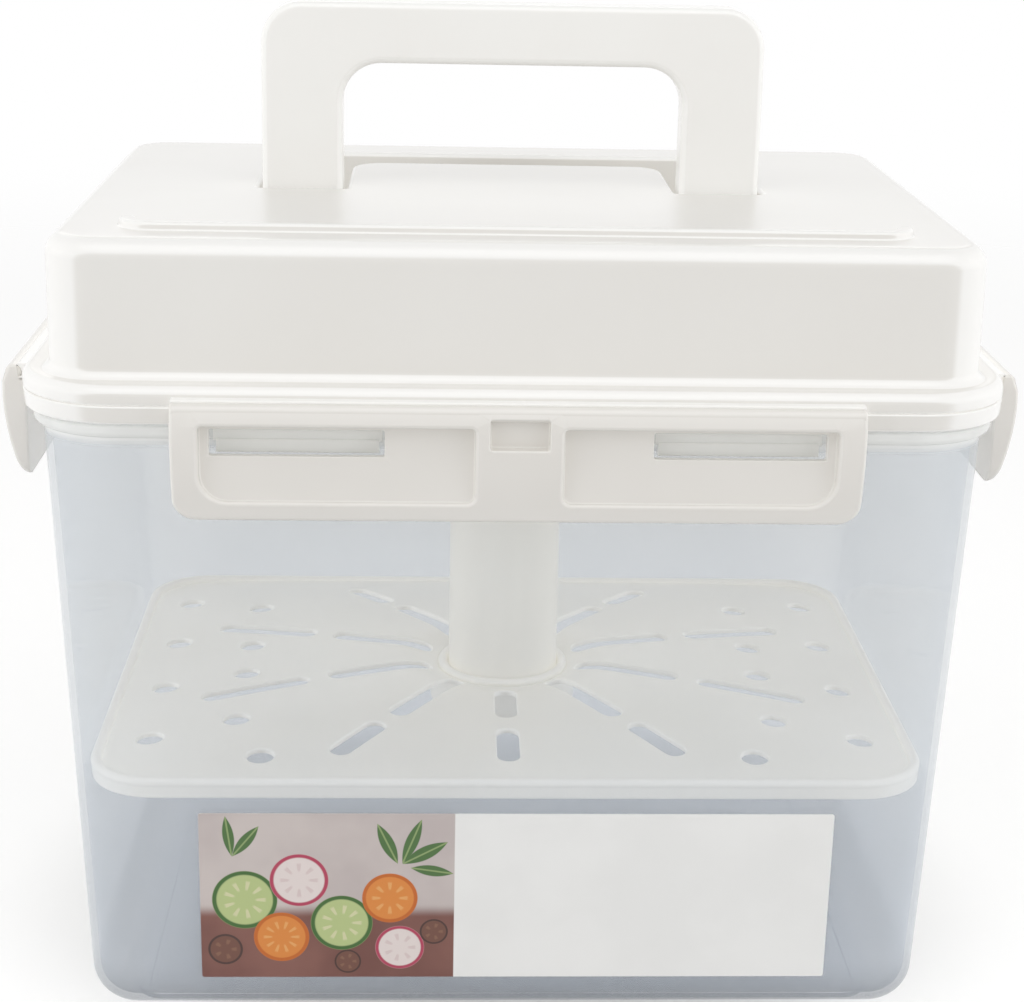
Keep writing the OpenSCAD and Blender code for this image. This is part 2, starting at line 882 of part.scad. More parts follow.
module press_plate() {
    collar_z = plate_z - collar_drop;
    cut_h = 2 * plate_rise + collar_drop + overrun;
    color("whitesmoke") {
        difference() {
            union() {
                difference() {
                    intersection() {
                        plate_prism(0, plate_z, 2 * plate_rise);
                        crown(0);
                    }
                    intersection() {
                        plate_prism(plate_t, plate_z - overrun, 2 * plate_rise);
                        crown(plate_t);
                    }
                }
                tube(shoulder_out, collar_r, collar_z, crown_z - plate_t / 2 - collar_z);
            }
            translate([0, 0, collar_z - overrun])
                linear_extrude(cut_h) {
                    drain_slots();
                    drain_holes();
                }
            shoulder_cut();
            translate([0, 0, collar_z - overrun])
                cylinder(r = collar_r, h = cut_h);
        }
        around(plate_ax, plate_ay)
            translate([plate_corner - plate_bead + bead_proud, plate_z + plate_edge])
                circle(plate_bead);
        rotate_extrude()
            translate([collar_r + collar_wall / 2 + bead_proud / 2, collar_bead_z])
                circle(collar_wall / 2);
        tube(collar_r + collar_wall / 2, column_bore, collar_z, seat_t);
    }
}

// Outer tube of the press, closed at its lower end
module press_column() {
    color("whitesmoke") {
        tube(column_r, column_bore, column_z, column_len);
        translate([0, 0, column_z])
            cylinder(r = column_bore + column_wall / 2, h = column_wall);
    }
}

// Flanged bush in the column's upper end, which runs on the guide tube
module column_bush() {
    color("gainsboro") {
        tube(column_bore - collar_gap, guide_r + guide_gap, column_top - bush_len, bush_len + bush_collar_t);
        tube(column_r, guide_r + guide_gap, column_top, bush_collar_t);
    }
}

// Inner tube in the lid's socket, with a stop flange that the bush hangs on
module guide_tube() {
    color("whitesmoke") {
        tube(guide_r, guide_r - guide_wall, stop_top - stop_t, lid_under - stop_top + stop_t);
        tube(column_bore - guide_gap, guide_r - guide_wall, stop_top - stop_t, stop_t);
    }
}

// Points along the spring's wire
function wire_middle(i) =
    let (turn = 360 * i / rings_per_turn)
    [spring_r * cos(turn), spring_r * sin(turn), spring_z + wire_d / 2 + spring_rise * i / spring_rings];
function wire_ring(i) =
    let (turn = 360 * i / rings_per_turn)
    [for (k = [0:wire_sides - 1])
        let (side = 360 * k / wire_sides)
        wire_middle(i) + wire_d / 2 * [cos(turn) * cos(side), sin(turn) * cos(side), sin(side)]];

module press_spring() {
    turn_gaps = [for (i = [0:spring_rings - rings_per_turn])
        norm(wire_middle(i + rings_per_turn) - wire_middle(i)) - wire_d];
    points = [for (i = [0:spring_rings]) each wire_ring(i)];
    last = spring_rings * wire_sides;
    walls = [for (i = [0:spring_rings - 1], k = [0:wire_sides - 1])
        let (a = i * wire_sides + k, b = i * wire_sides + (k + 1) % wire_sides)
        each [[a, a + wire_sides, b], [b, a + wire_sides, b + wire_sides]]];
    ends = [for (k = [1:wire_sides - 2])
        each [[0, k, k + 1], [last, last + k + 1, last + k]]];
    echo(least_gap_between_turns = min(turn_gaps));
    color("silver")
        polyhedron(points, concat(walls, ends));
}

tub();
front_label();
lid();
lid_seal();
front_flap();
rear_flap();
left_flap();
right_flap();
carry_handle();
press_plate();
press_column();
column_bush();
guide_tube();
press_spring();
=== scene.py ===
"""Looks of a see-through fermentation tub with a tall white lid, latch flaps and a slotted press plate."""
import json
import math

import bmesh
import bpy
from mathutils import Matrix, Vector
from mathutils.geometry import delaunay_2d_cdt
from mathutils.kdtree import KDTree


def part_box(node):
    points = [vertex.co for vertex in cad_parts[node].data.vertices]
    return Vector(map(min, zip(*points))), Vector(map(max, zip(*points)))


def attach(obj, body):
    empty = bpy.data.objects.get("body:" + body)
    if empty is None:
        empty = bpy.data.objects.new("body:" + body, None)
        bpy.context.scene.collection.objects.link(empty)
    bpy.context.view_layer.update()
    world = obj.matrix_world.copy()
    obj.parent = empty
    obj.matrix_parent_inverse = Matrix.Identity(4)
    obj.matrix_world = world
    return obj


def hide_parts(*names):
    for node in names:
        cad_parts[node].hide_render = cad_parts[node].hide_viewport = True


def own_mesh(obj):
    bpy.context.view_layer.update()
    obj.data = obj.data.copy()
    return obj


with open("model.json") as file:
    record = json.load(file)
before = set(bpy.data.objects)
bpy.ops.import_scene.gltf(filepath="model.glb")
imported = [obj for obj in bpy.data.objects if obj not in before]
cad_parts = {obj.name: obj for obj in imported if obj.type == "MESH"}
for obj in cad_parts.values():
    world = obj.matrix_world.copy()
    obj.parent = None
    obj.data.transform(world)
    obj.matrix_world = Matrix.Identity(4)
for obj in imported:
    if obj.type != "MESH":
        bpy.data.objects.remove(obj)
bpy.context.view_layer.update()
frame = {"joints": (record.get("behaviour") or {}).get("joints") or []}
mm = 0.001
scene = bpy.context.scene

# Frame of the photograph in pixels, and the camera that was fitted to it
PHOTO_W = 1024
PHOTO_H = 1002
FOCAL_PX = 2155.4
AXIS_PX = (529.0, 416.1)
EYE = Vector((-19.4, -563.9, 292.7)) * mm
YAW = math.radians(2.58)
PITCH = math.radians(15.25)
ROLL = math.radians(-1.25)
SENSOR_W = 36

# Softboxes in metres and watts: name, place, width and height, power, whether glossy faces show it
LAMP_AIM = Vector((0, 0, 0.1))
LAMPS = (("top_softbox", (0, -0.75, 1.35), (1.6, 1.0), 5.7, True),
         ("left_softbox", (-1.45, -0.45, 0.5), (1.9, 0.85), 12.2, False),
         ("right_softbox", (1.45, -0.45, 0.5), (1.9, 0.85), 12.2, False),
         ("rear_softbox", (0, 1.4, 1.0), (1.4, 0.9), 3.0, True))
AMBIENT = 0.46

# Linear colours of the white plastics: the palest tone, the deepest tone and a paler tone on rounded edges,
# which is a painted highlight and comes in between two edge values
LID_WHITE = ((0.800, 0.787, 0.757, 1), (0.777, 0.760, 0.727, 1), (0.905, 0.898, 0.880, 1))
# The flaps' tones are the lid's plastic made darker, as painted shade
FLAP_WHITE_SHADED = ((0.770, 0.748, 0.712, 1), (0.745, 0.722, 0.684, 1), (0.785, 0.765, 0.730, 1))
# The handle's tones are the lid's plastic made paler, as painted light
HANDLE_WHITE_LIT = ((0.895, 0.888, 0.865, 1), (0.875, 0.864, 0.838, 1), (0.930, 0.925, 0.905, 1))
# The press's tones are warmer than the lid's, and made paler as painted light
PRESS_WHITE_LIT = ((0.940, 0.915, 0.850, 1), (0.915, 0.888, 0.820, 1), (0.955, 0.935, 0.880, 1))
BUSH_WHITE = ((0.790, 0.785, 0.760, 1), (0.740, 0.735, 0.705, 1), (0.810, 0.805, 0.780, 1))
EDGE_HIGHLIGHT_LEAN = (0.025, 0.08)
COAT_ROUGHNESS = 0.16
PLASTIC_IOR = 1.5

# Share of lamp light that passes each thin wall
TUB_TINT = (0.985, 0.99, 1.0, 1)
LID_TINT = (0.97, 0.97, 0.965, 1)
FLAP_TINT = (0.6, 0.6, 0.58, 1)
PRESS_TINT = (0.88, 0.87, 0.85, 1)

# The tub's veil: pairs of tones above and below, whose darker and bluer lower pair is painted shade, the
# paler flanks as a painted highlight, the dark foot as painted shade, and the frosted rim
VEIL_UPPER = ((0.445, 0.49, 0.535, 1), (0.495, 0.54, 0.58, 1))
VEIL_LOWER_SHADED = ((0.41, 0.47, 0.56, 1), (0.455, 0.515, 0.605, 1))
VEIL_FLANK_HIGHLIGHT = (0.63, 0.675, 0.72, 1)
VEIL_FOOT_SHADE = (0.27, 0.30, 0.34, 1)
FROST_WHITE = (0.90, 0.90, 0.87, 1)
VEIL_BASE = 0.20
FLANK_HIGHLIGHT_SHARE = 0.6
RIM_FROST = 0.8
GRAZING_POWER = 2.2


def box_mm(node):
    """Lowest and highest corner of a node, in mm."""
    return [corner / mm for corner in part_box(node)]


# Sizes in mm, from the frame where it gives them
tub_rim = box_mm("tub")[1].z
plate_low, plate_high = box_mm("press_plate")
column_low, column_high = box_mm("press_column")
bush_low, bush_high = box_mm("column_bush")
guide_low, guide_high = box_mm("guide_tube")
handle_low, handle_high = box_mm("carry_handle")
label_low, label_high = box_mm("front_label")
spring_low, spring_high = box_mm("press_spring")
seal_low, seal_high = box_mm("lid_seal")


def joint_named(name):
    """A joint of the frame."""
    return next(joint for joint in frame["joints"] if joint["name"] == name)


# Outlines: lists of (point, outward normal) pairs, counter-clockwise, in mm

ARC_STEP = math.radians(9)


def turned(vector, angle):
    """A flat vector turned counter-clockwise."""
    return Vector((vector.x * math.cos(angle) - vector.y * math.sin(angle),
                   vector.x * math.sin(angle) + vector.y * math.cos(angle)))


def corner_arc(before, here, after, radius):
    """Points and normals round one corner of an outline."""
    come = (here - before).normalized()
    go = (after - here).normalized()
    turn = math.atan2(come.x * go.y - come.y * go.x, come.dot(go))
    side = math.copysign(1, turn)
    out = Vector((come.y, -come.x))
    centre = here - come * radius * math.tan(abs(turn) / 2) - out * radius * side
    steps = max(2, math.ceil(abs(turn) / ARC_STEP))
    normals = [turned(out, turn * k / steps) for k in range(steps + 1)]
    return [(centre + normal * radius * side, normal) for normal in normals]


def outline(corners, spacing=6.0):
    """Closed outline from (x, y, radius) corners, with points along its straight runs."""
    spots = [Vector(corner[:2]) for corner in corners]
    arcs = []
    for i, corner in enumerate(corners):
        arcs.append(corner_arc(spots[i - 1], spots[i], spots[(i + 1) % len(spots)], corner[2]))
    path = []
    for i, bend in enumerate(arcs):
        path += bend
        start, normal = bend[-1]
        end = arcs[(i + 1) % len(arcs)][0][0]
        pieces = max(1, round((end - start).length / spacing))
        path += [(start.lerp(end, k / pieces), normal) for k in range(1, pieces)]
    return path


def rectangle(left, low, right, high, low_round, high_round):
    """Corners of a rectangle whose lower and upper corners are rounded."""
    return [(left, low, low_round), (right, low, low_round),
            (right, high, high_round), (left, high, high_round)]


def bow(half, inner, low, step, high, foot_round, inner_round, outer_round):
    """Corners of a bow with two legs, which the handle and its recess share."""
    return [(-half, low, foot_round), (-inner, low, foot_round), (-inner, step, inner_round),
            (inner, step, inner_round), (inner, low, foot_round), (half, low, foot_round),
            (half, high, outer_round), (-half, high, outer_round)]


def corner_axes(half_w, half_d, along=16, across=12, steps=12):
    """Path on the four corner axes of a rounded rectangle, where an offset is the distance from the axes.

    Every such path has the same count of points, so rings of different rectangles can be joined."""
    path = []
    signs = ((1, 1), (-1, 1), (-1, -1), (1, -1))
    for quarter, (sx, sy) in enumerate(signs):
        corner = Vector((sx * half_w, sy * half_d))
        angles = [math.radians(90 * (quarter + k / steps)) for k in range(steps + 1)]
        path += [(corner, Vector((math.cos(a), math.sin(a)))) for a in angles]
        following = signs[(quarter + 1) % 4]
        target = Vector((following[0] * half_w, following[1] * half_d))
        pieces = along if quarter % 2 == 0 else across
        path += [(corner.lerp(target, k / pieces), path[-1][1]) for k in range(1, pieces)]
    return path


def circle(count=72):
    """Path on the middle axis, where an offset is a radius."""
    angles = [math.tau * k / count for k in range(count)]
    return [(Vector((0, 0)), Vector((math.cos(a), math.sin(a)))) for a in angles]


# Profiles: lists of (offset, height) pairs that are carried along a path

def arc(offset, height, radius, start, end, steps=4):
    """Points on an arc round a centre. Angles are in degrees, 0 points outward."""
    angles = [math.radians(start + (end - start) * k / steps) for k in range(steps + 1)]
    return [(offset + radius * math.cos(a), height + radius * math.sin(a)) for a in angles]


def bevel(offset, height, radius, start, end, steps=4):
    """Points on a quarter arc that rounds the square corner at a place."""
    middle = math.radians((start + end) / 2)
    out = math.copysign(radius, math.cos(middle))
    up = math.copysign(radius, math.sin(middle))
    return arc(offset - out, height - up, radius, start, end, steps)


def hem(outer, inner, low, radius, steps=4):
    """Rounded lower end of a wall, from its outside to its inside."""
    return bevel(outer, low, radius, 0, -90, steps) + bevel(inner, low, radius, -90, -180, steps)


def carry(path, profile, base=None):
    """Rings of a profile carried along a path. Heights count from base, a function of place, or from 0."""
    rings = []
    for offset, height in profile:
        spots = [point + normal * offset for point, normal in path]
        rings.append([(s.x, s.y, height + (base(s.x, s.y) if base else 0.0)) for s in spots])
    return rings


def rod_rings(start, end, radius, rounding, across=(0.0, 0.0)):
    """Rings of a rod along the first axis, with rounded ends that close to a point."""
    profile = ([(0, start)] + bevel(radius, start, rounding, -90, 0)
               + bevel(radius, end, rounding, 0, 90) + [(0, end)])
    return [[(z, across[0] + x, across[1] + y) for x, y, z in ring] for ring in carry(circle(40), profile)]


def inside(spot, loop):
    """True if a point lies inside a closed loop."""
    within = False
    for (ax, ay, *_), (bx, by, *_) in zip(loop, loop[1:] + loop[:1]):
        if (ay > spot[1]) != (by > spot[1]):
            if spot[0] < ax + (bx - ax) * (spot[1] - ay) / (by - ay):
                within = not within
    return within


class Shell:
    """A piece of rings of points that bands join and fields close. lift takes its points into the frame."""

    MERGE = 0.002 * mm
    SHARP = math.radians(50)
    ROW = 0.87

    def __init__(self, lift=None):
        self.shape = bmesh.new()
        self.lift = lift or (lambda x, y, z: (x, y, z))

    def point(self, spot):
        """A new point of the piece."""
        return self.shape.verts.new(Vector(self.lift(*spot)) * mm)

    def skin(self, rings):
        """Bands of four-sided faces between rings that follow each other."""
        rows = [[self.point(spot) for spot in ring] for ring in rings]
        for first, second in zip(rows, rows[1:]):
            count = len(first)
            for k in range(count):
                after = (k + 1) % count
                self.shape.faces.new((first[k], first[after], second[after], second[k]))
        return self

    def cap(self, ring):
        """One flat face that closes a ring."""
        self.shape.faces.new([self.point(spot) for spot in ring])
        return self

    def field(self, outer, holes=(), height=None, spacing=5.0):
        """A field of triangles inside a ring and around holes. height gives its level, or the ring does."""
        level = height or (lambda x, y: outer[0][2])
        loops = [outer, *holes]
        spots = [Vector(spot[:2]) for loop in loops for spot in loop]
        owners = [i for i, loop in enumerate(loops) for _ in loop]
        edges = []
        for loop in loops:
            first = len(edges)
            edges += [(first + k, first + (k + 1) % len(loop)) for k in range(len(loop))]
        spots += self.grid_points(loops, spots, spacing)
        found, _, triangles, origins = delaunay_2d_cdt(spots, edges, [], 1, 1e-6)[:4]
        corners = [self.point((s.x, s.y, level(s.x, s.y))) for s in found]
        owner = [owners[o[0]] if o and o[0] < len(owners) else -1 for o in origins]
        for triangle in triangles:
            held_by = {owner[k] for k in triangle}
            if len(held_by) == 1 and held_by != {-1}:
                loop = loops[held_by.pop()]
                middle = sum((found[k] for k in triangle), Vector((0, 0))) / 3
                if inside(middle, loop) == (loop is not outer):
                    continue
            self.shape.faces.new([corners[k] for k in triangle])
        return self

    def grid_points(self, loops, edge_spots, spacing):
        """Staggered points inside the first loop and clear of the others."""
        tree = KDTree(len(edge_spots))
        for i, spot in enumerate(edge_spots):
            tree.insert((spot.x, spot.y, 0), i)
        tree.balance()
        xs = [spot[0] for spot in loops[0]]
        ys = [spot[1] for spot in loops[0]]
        rows = int((max(ys) - min(ys)) / (spacing * self.ROW))
        columns = int((max(xs) - min(xs)) / spacing)
        kept = []
        for row in range(1, rows):
            for column in range(1, columns):
                x = min(xs) + spacing * (column + 0.5 * (row % 2))
                y = min(ys) + spacing * self.ROW * row
                if tree.find((x, y, 0))[2] < 0.5 * spacing:
                    continue
                if inside((x, y), loops[0]) and not any(inside((x, y), loop) for loop in loops[1:]):
                    kept.append(Vector((x, y)))
        return kept

    def finish(self, name):
        """The merged piece, with its faces pointing outward and even shading."""
        bmesh.ops.remove_doubles(self.shape, verts=self.shape.verts[:], dist=self.MERGE)
        bmesh.ops.dissolve_degenerate(self.shape, edges=self.shape.edges[:], dist=self.MERGE)
        bmesh.ops.recalc_face_normals(self.shape, faces=self.shape.faces[:])
        for edge in self.shape.edges:
            edge.smooth = edge.calc_face_angle(0) < self.SHARP
        piece = mesh_piece(name, self.shape)
        piece.modifiers.new("even_normals", "WEIGHTED_NORMAL").keep_sharp = True
        return bake(piece)

    def finish_edged(self, name):
        """The finished piece, with an edge value that is 0 on its flat faces and grows round its edges,
        where the white plastics paint a highlight.
        """
        piece = self.finish(name)
        leans = [1 - max(abs(part) for part in vertex.normal) for vertex in piece.data.vertices]
        piece.data.attributes.new("edge", "FLOAT", "POINT").data.foreach_set("value", leans)
        return piece


# Objects and node trees

def show(piece):
    """Puts a new object into the scene."""
    scene.collection.objects.link(piece)
    return piece


def mesh_piece(name, shape):
    """An object from a bmesh with smooth faces."""
    for face in shape.faces:
        face.smooth = True
    mesh = bpy.data.meshes.new(name)
    shape.to_mesh(mesh)
    shape.free()
    return show(bpy.data.objects.new(name, mesh))


def bake(piece):
    """Turns a piece's modifiers into a plain mesh."""
    depsgraph = bpy.context.evaluated_depsgraph_get()
    rough = piece.data
    piece.data = bpy.data.meshes.new_from_object(piece.evaluated_get(depsgraph), depsgraph=depsgraph)
    piece.modifiers.clear()
    bpy.data.meshes.remove(rough)
    return piece


def install(piece, body, node, material):
    """Gives a finished piece its material and lets it stand for a node on that node's body."""
    piece.data.materials.clear()
    piece.data.materials.append(material)
    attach(piece, body)
    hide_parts(node)


class Nodes:
    """Fills a node tree. Where a node's input gets a socket it is linked, and any other value is set."""

    def __init__(self, tree):
        self.tree = tree

    def feed(self, target, value):
        """Links a socket to an input, or sets the input's value."""
        if isinstance(value, bpy.types.NodeSocket):
            self.tree.links.new(value, target)
        else:
            target.default_value = value

    def add(self, kind, feeds=None, **settings):
        """Outputs of a new node with its settings and what its inputs get."""
        node = self.tree.nodes.new(kind)
        for name, value in settings.items():
            setattr(node, name, value)
        for key, value in (feeds or {}).items():
            self.feed(node.inputs[key], value)
        return node.outputs

    def first(self, kind, feeds=None, **settings):
        """First output of a new node."""
        return self.add(kind, feeds, **settings)[0]

    def maths(self, operation, *values):
        """Result of a calculation with values."""
        return self.first("ShaderNodeMath", dict(enumerate(values)), operation=operation)

    def times(self, value, factor):
        """Product of two values."""
        return self.maths("MULTIPLY", value, factor)

    def added(self, value, factor, start):
        """A value times a factor, added to a start."""
        return self.maths("MULTIPLY_ADD", value, factor, start)

    def rest(self, value):
        """What a value lacks to 1."""
        return self.maths("SUBTRACT", 1.0, value)

    def ramp(self, value, low, high):
        """Smooth step from 0 to 1 as a value goes from low to high."""
        feeds = {"Value": value, "From Min": low, "From Max": high}
        return self.first("ShaderNodeMapRange", feeds, interpolation_type="SMOOTHSTEP")

    def mix(self, share, first, second):
        """Colour between two others."""
        return self.add("ShaderNodeMix", {0: share, 6: first, 7: second}, data_type="RGBA")[2]

    def vector(self, operation, *values):
        """Result of a calculation with vectors."""
        return self.first("ShaderNodeVectorMath", dict(enumerate(values)), operation=operation)

    def length(self, vector):
        """Length of a vector."""
        return self.add("ShaderNodeVectorMath", {0: vector}, operation="LENGTH")["Value"]

    def axes(self, vector):
        """X, Y and Z of a vector."""
        return self.add("ShaderNodeSeparateXYZ", {0: vector})

    def noise(self, vector, scale, detail, distortion=0.0):
        """Values of a cloudy noise."""
        return self.first("ShaderNodeTexNoise", {
            "Vector": vector, "Scale": scale, "Detail": detail, "Distortion": distortion})

    def attribute(self, name):
        """A value stored on the mesh."""
        return self.add("ShaderNodeAttribute", attribute_name=name)["Fac"]

    def position(self):
        """Place on the piece, in metres."""
        return self.add("ShaderNodeTexCoord")["Object"]

    def group(self, group, feeds):
        """Outputs of a shader group."""
        return self.add("ShaderNodeGroup", feeds, node_tree=group)

    def rounded_frame(self, width, height, radius, count):
        """Curve of a rectangle with rounded corners."""
        curve = self.first("GeometryNodeCurvePrimitiveQuadrilateral", {"Width": width, "Height": height})
        feeds = {"Curve": curve, "Radius": radius, "Count": count}
        return self.first("GeometryNodeFilletCurve", feeds, mode="POLY")

    def swept(self, curve, section, caps=False):
        """Mesh of a section that follows a curve."""
        return self.first("GeometryNodeCurveToMesh", {
            "Curve": curve, "Profile Curve": section, "Fill Caps": caps})

    def shifted(self, geometry, shift):
        """Geometry moved by a vector."""
        return self.first("GeometryNodeTransform", {"Geometry": geometry, "Translation": shift})


def input_socket(tree, label, value):
    """A new input of a tree, for a vector if its value is a tuple and else for a number."""
    kind = "NodeSocketVector" if isinstance(value, tuple) else "NodeSocketFloat"
    return tree.interface.new_socket(label, in_out="INPUT", socket_type=kind)


def nodes_piece(name, material, build, values):
    """A baked piece from a geometry node tree. values are what its named inputs get."""
    tree = bpy.data.node_groups.new(name, "GeometryNodeTree")
    tree.interface.new_socket("Geometry", in_out="OUTPUT", socket_type="NodeSocketGeometry")
    places = {label: input_socket(tree, label, value).identifier for label, value in values.items()}
    nodes = Nodes(tree)
    solid = nodes.first("GeometryNodeRealizeInstances", {0: build(nodes, nodes.add("NodeGroupInput"))})
    solid = nodes.first("GeometryNodeSetShadeSmooth", {0: solid})
    coated = nodes.first("GeometryNodeSetMaterial", {"Geometry": solid, "Material": material})
    nodes.add("NodeGroupOutput", {0: coated})
    piece = show(bpy.data.objects.new(name, bpy.data.meshes.new(name)))
    modifier = piece.modifiers.new(name, "NODES")
    modifier.node_group = tree
    for label, value in values.items():
        modifier[places[label]] = value
    return bake(piece)


# Effects that several finishes share

def shader_group(name, inputs, outputs):
    """A shader group, its nodes and its sockets. inputs maps names to values, and all outputs are values."""
    group = bpy.data.node_groups.new(name, "ShaderNodeTree")
    for label, value in inputs.items():
        input_socket(group, label, value).default_value = value
    for label in outputs:
        group.interface.new_socket(label, in_out="OUTPUT", socket_type="NodeSocketFloat")
    entry = group.nodes.new("NodeGroupInput")
    leave = group.nodes.new("NodeGroupOutput")
    return group, Nodes(group), entry.outputs, leave.inputs


def moulded_surface():
    """Faint clouds of tone, uneven gloss and the fine ripple of a moulded wall."""
    group, nodes, given, out = shader_group("moulded_surface", {
        "Position": (0, 0, 0), "Cloud Scale": 30.0, "Roughness": 0.2, "Unevenness": 0.05,
        "Ripple Scale": 400.0}, ("Tone", "Roughness", "Height"))
    place = given["Position"]
    clouds = nodes.noise(place, given["Cloud Scale"], 3.0)
    smears = nodes.noise(place, nodes.times(given["Cloud Scale"], 5.0), 4.0, 0.6)
    swing = nodes.maths("SUBTRACT", smears, 0.5)
    nodes.feed(out["Tone"], nodes.ramp(clouds, 0.35, 0.65))
    nodes.feed(out["Roughness"], nodes.added(swing, given["Unevenness"], given["Roughness"]))
    nodes.feed(out["Height"], nodes.noise(place, given["Ripple Scale"], 2.0))
    return group


def handling_scuffs():
    """Patches of hairline scratches from wiping and handling."""
    group, nodes, given, out = shader_group(
        "handling_scuffs", {"Position": (0, 0, 0), "Stretch": (60, 2400, 900)}, ("Scuff",))
    drawn = nodes.vector("MULTIPLY", given["Position"], given["Stretch"])
    lines = nodes.ramp(nodes.noise(drawn, 1.0, 2.0), 0.62, 0.72)
    spread = nodes.ramp(nodes.noise(given["Position"], 26.0, 2.0), 0.5, 0.66)
    nodes.feed(out["Scuff"], nodes.times(lines, spread))
    return group


def round_slice():
    """Masks of a cut vegetable: its disc, its rind and a ring of seeds."""
    group, nodes, given, out = shader_group("round_slice", {
        "Place": (0, 0, 0), "Centre": (0, 0, 0), "Radius": 5.0, "Seeds": 7.0}, ("Disc", "Rind", "Seeds"))
    reach = nodes.vector("SUBTRACT", given["Place"], given["Centre"])
    away = nodes.maths("DIVIDE", nodes.length(reach), given["Radius"])
    axes = nodes.axes(reach)
    turn = nodes.times(nodes.maths("ARCTAN2", axes["Z"], axes["X"]), given["Seeds"])
    petals = nodes.ramp(nodes.maths("COSINE", turn), 0.35, 0.75)
    band = nodes.times(nodes.ramp(away, 0.28, 0.4), nodes.rest(nodes.ramp(away, 0.58, 0.68)))
    disc = nodes.rest(nodes.ramp(away, 0.96, 1.0))
    nodes.feed(out["Disc"], disc)
    nodes.feed(out["Rind"], nodes.times(disc, nodes.ramp(away, 0.82, 0.88)))
    nodes.feed(out["Seeds"], nodes.times(band, petals))
    return group


def leaf_blade():
    """Masks of a pointed leaf and of its middle vein."""
    group, nodes, given, out = shader_group("leaf_blade", {
        "Place": (0, 0, 0), "Base": (0, 0, 0), "Turn": 0.0, "Length": 12.0, "Width": 2.0}, ("Blade", "Vein"))
    reach = nodes.vector("SUBTRACT", given["Place"], given["Base"])
    laid = nodes.first("ShaderNodeVectorRotate", {
        "Vector": reach, "Axis": (0, 1, 0), "Angle": given["Turn"]})
    axes = nodes.axes(laid)
    along = nodes.maths("DIVIDE", axes["X"], given["Length"])
    belly = nodes.times(nodes.times(along, 4.0), nodes.rest(along))
    across = nodes.maths("ABSOLUTE", axes["Z"])
    gap = nodes.maths("SUBTRACT", nodes.times(belly, given["Width"]), across)
    blade = nodes.ramp(gap, 0.0, 0.25)
    nodes.feed(out["Blade"], blade)
    nodes.feed(out["Vein"], nodes.times(blade, nodes.rest(nodes.ramp(across, 0.12, 0.3))))
    return group


MOULDED = moulded_surface()
SCUFFS = handling_scuffs()
SLICE = round_slice()
LEAF = leaf_blade()


# Finishes

def moulded(name, cloud_scale, roughness, unevenness, ripple_scale, strength, ripple):
    """A material with uneven gloss and a ripple in mm, its nodes, its inputs, the place and the surface."""
    material = bpy.data.materials.new(name)
    material.use_nodes = True
    nodes = Nodes(material.node_tree)
    shader = material.node_tree.nodes["Principled BSDF"].inputs
    position = nodes.position()
    surface = nodes.group(MOULDED, {
        "Position": position, "Cloud Scale": cloud_scale, "Roughness": roughness, "Unevenness": unevenness,
        "Ripple Scale": ripple_scale})
    bump = {"Height": surface["Height"], "Strength": strength, "Distance": ripple * mm}
    nodes.feed(shader["Normal"], nodes.first("ShaderNodeBump", bump))
    nodes.feed(shader["Roughness"], surface["Roughness"])
    return material, nodes, shader, position, surface


def let_through(material, tint, *rays):
    """Lets kinds of rays pass a thin wall, so that the lamps light what is behind it."""
    nodes = Nodes(material.node_tree)
    held = material.node_tree.nodes
    shader = held["Principled BSDF"].outputs[0]
    for ray in rays:
        clear = nodes.first("ShaderNodeBsdfTransparent", {"Color": tint})
        path = nodes.add("ShaderNodeLightPath")
        shader = nodes.first("ShaderNodeMixShader", {0: path[ray], 1: shader, 2: clear})
    nodes.feed(held["Material Output"].inputs["Surface"], shader)
    return material


def plastic(name, tones, cloud_scale, ripple, scuffing, gloss=0.6, roughness=0.36):
    """White moulded plastic with faint clouds of tone, a painted highlight on rounded edges, a ripple in mm
    and hairline scuffs.
    """
    material, nodes, shader, position, surface = moulded(
        name, cloud_scale, roughness, unevenness=0.08, ripple_scale=400.0, strength=0.25, ripple=ripple)
    pale, deep, edge = tones
    flat = nodes.mix(surface["Tone"], deep, pale)
    # Painted highlight: rounded edges take the paler edge tone
    rounded = nodes.ramp(nodes.attribute("edge"), *EDGE_HIGHLIGHT_LEAN)
    nodes.feed(shader["Base Color"], nodes.mix(rounded, flat, edge))
    scuff = nodes.group(SCUFFS, {"Position": position})["Scuff"]
    nodes.feed(shader["Roughness"], nodes.added(scuff, scuffing, surface["Roughness"]))
    shader["IOR"].default_value = PLASTIC_IOR
    shader["Coat Weight"].default_value = gloss
    shader["Coat Roughness"].default_value = COAT_ROUGHNESS
    return material


